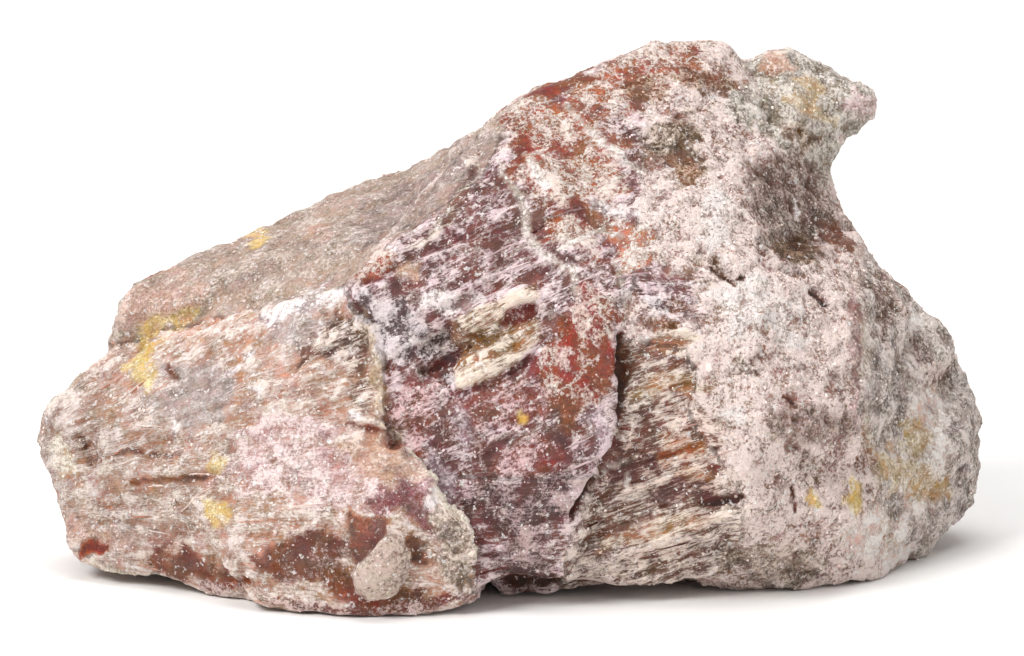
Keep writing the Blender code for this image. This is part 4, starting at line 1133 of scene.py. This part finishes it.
def crumb(some, tint, spot):
    """One crumb, a lumpy grain half sunk in the skin."""
    radius = chance.uniform(*CRUMB_RADIUS) * MM * (BIG_TIMES if chance.random() < BIG_SHARE else 1)
    colour = shade_between(spot, *CRUMB_SHADES)
    normal = Vector(normals[spot])
    turn = normal.to_track_quat("Z", "Y").to_matrix().to_4x4()
    flat = Matrix.Diagonal((*chance.uniform(0.7, 1.5, 2) * radius, 0.8 * radius, 1))
    spin = Matrix.Rotation(chance.uniform(0, math.tau), 4, "Z")
    matrix = Matrix.Translation(Vector(points[spot]) + normal * 0.2 * radius) @ turn @ spin @ flat
    for v in bmesh.ops.create_icosphere(some, subdivisions=1, radius=1, matrix=matrix)["verts"]:
        v.co += Vector(chance.normal(0, 0.16 * radius, 3))
        v[tint] = colour


dusty = paint[:, COVER] * (1 - 0.7 * paint[:, WAX]) * smooth_step(-0.5, 0.6, cloud(points / MM, 1.8, 32))
crumbs = gather("talc_crumbs", pick(dusty**2, CRUMBS), crumb)
print(len(crumbs.data.polygons), "faces in", CRUMBS, "crumbs")

# %% [markdown]
# ## The finish of loose talc
# Splinters and crumbs are talc too, in pieces too small for the skin's pattern. Each keeps the tint it was
# given, a little uneven. Split fibres have a faint sheen, and pressed powder is duller.

# %% Finish the splinters and crumbs
SPLIT_ROUGHNESS = 0.6
POWDER_ROUGHNESS = 0.85


def loose_material(name, roughness):
    """Talc in thin or small pieces: its own tint, a little uneven, and duller the more powdery it is."""
    material = bpy.data.materials.new(name)
    material.use_nodes = True
    tree = material.node_tree
    shader = tree.nodes["Principled BSDF"]
    place = add(tree, "TexCoord").outputs["Object"]
    uneven = add(tree, "TexNoise", {"Vector": place, "Scale": 1 / (0.4 * MM), "Detail": 2.0})
    tint = add(tree, "Attribute", attribute_name="tint")
    share = add(tree, "MapRange", {"Value": uneven, "From Min": 0.3, "From Max": 0.7, "To Min": 0.75,
                                   "To Max": 1.15})
    colour = add(tree, "HueSaturation", {"Value": share, "Color": tint})
    tree.links.new(colour.outputs[0], shader.inputs["Base Color"])
    shader.inputs["Roughness"].default_value = roughness
    shader.inputs["IOR"].default_value = TALC_IOR
    return material


for loose, finish, roughness in (
    (splinters, "talc_fibre_split", SPLIT_ROUGHNESS),
    (crumbs, "talc_powder_pressed", POWDER_ROUGHNESS),
):
    loose.data.materials.append(loose_material(finish, roughness))
    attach(loose, "root")
    print(finish, "on", loose.name)

# %% [markdown]
# ## The floor
# The stone stands on plain white paper that sweeps up behind it, so that no edge of a table crosses the
# picture. One edge is extruded for the flat part and spun a quarter turn for the sweep.

# %% Lay the paper
PAPER_WIDTH = 3.0
PAPER_FRONT = -1.4
PAPER_BACK = 1.6
SWEEP = 0.8
SWEEP_STEPS = 16
PAPER_ROUGHNESS = 0.9

bm = bmesh.new()
first = [bm.verts.new((side * PAPER_WIDTH / 2, PAPER_FRONT, 0)) for side in (-1, 1)]
edge = bm.edges.new(first)
made = bmesh.ops.extrude_edge_only(bm, edges=[edge])["geom"]
ends = [g for g in made if isinstance(g, bmesh.types.BMVert)]
bmesh.ops.translate(bm, verts=ends, vec=(0, PAPER_BACK - PAPER_FRONT, 0))
edge = [g for g in made if isinstance(g, bmesh.types.BMEdge) and all(v in ends for v in g.verts)]
bmesh.ops.spin(bm, geom=ends + edge, cent=(0, PAPER_BACK, SWEEP), axis=(1, 0, 0), angle=math.pi / 2,
               steps=SWEEP_STEPS)
mesh = bpy.data.meshes.new("paper_sweep")
bm.to_mesh(mesh)
bm.free()
paper = new_object("paper_sweep", mesh)
for face in mesh.polygons:
    face.use_smooth = True
white = bpy.data.materials.new("matt_white_paper")
white.use_nodes = True
shader = white.node_tree.nodes["Principled BSDF"]
shader.inputs["Base Color"].default_value = (*linear("#F4F3F1"), 1)
shader.inputs["Roughness"].default_value = PAPER_ROUGHNESS
mesh.materials.append(white)
print(len(mesh.polygons), "faces in the paper")

# %% [markdown]
# ## The light
# Two windows and a wide lamp overhead are large for a small stone, so that its shadow stays short and soft.
# The left one is the strongest, which lets the relief show. A white room fills in the rest.

# %% Set the lights
ROOM_STRENGTH = 0.34
LAMPS = [
    # name, place in metres, side in metres, watts
    ("window_left", (-0.7, -0.6, 0.9), 0.5, 12.5),
    ("window_right", (0.9, -0.6, 0.5), 0.9, 2.4),
    ("overhead", (0.0, 0.2, 1.2), 1.0, 11),
]
for name, spot, side, watts in LAMPS:
    lamp = bpy.data.objects.new(name, bpy.data.lights.new(name, "AREA"))
    lamp.data.size = side
    lamp.data.energy = watts
    lamp.location = spot
    lamp.rotation_euler = (Vector(spot) - AIM).to_track_quat("Z", "Y").to_euler()
    bpy.context.scene.collection.objects.link(lamp)

world = bpy.data.worlds.new("white_room")
world.use_nodes = True
world.node_tree.nodes["Background"].inputs["Color"].default_value = (1, 1, 1, 1)
world.node_tree.nodes["Background"].inputs["Strength"].default_value = ROOM_STRENGTH
bpy.context.scene.world = world
bpy.context.scene.view_settings.view_transform = "Standard"
bpy.context.scene.view_settings.look = "None"
print(len(LAMPS), "lamps and a white room")
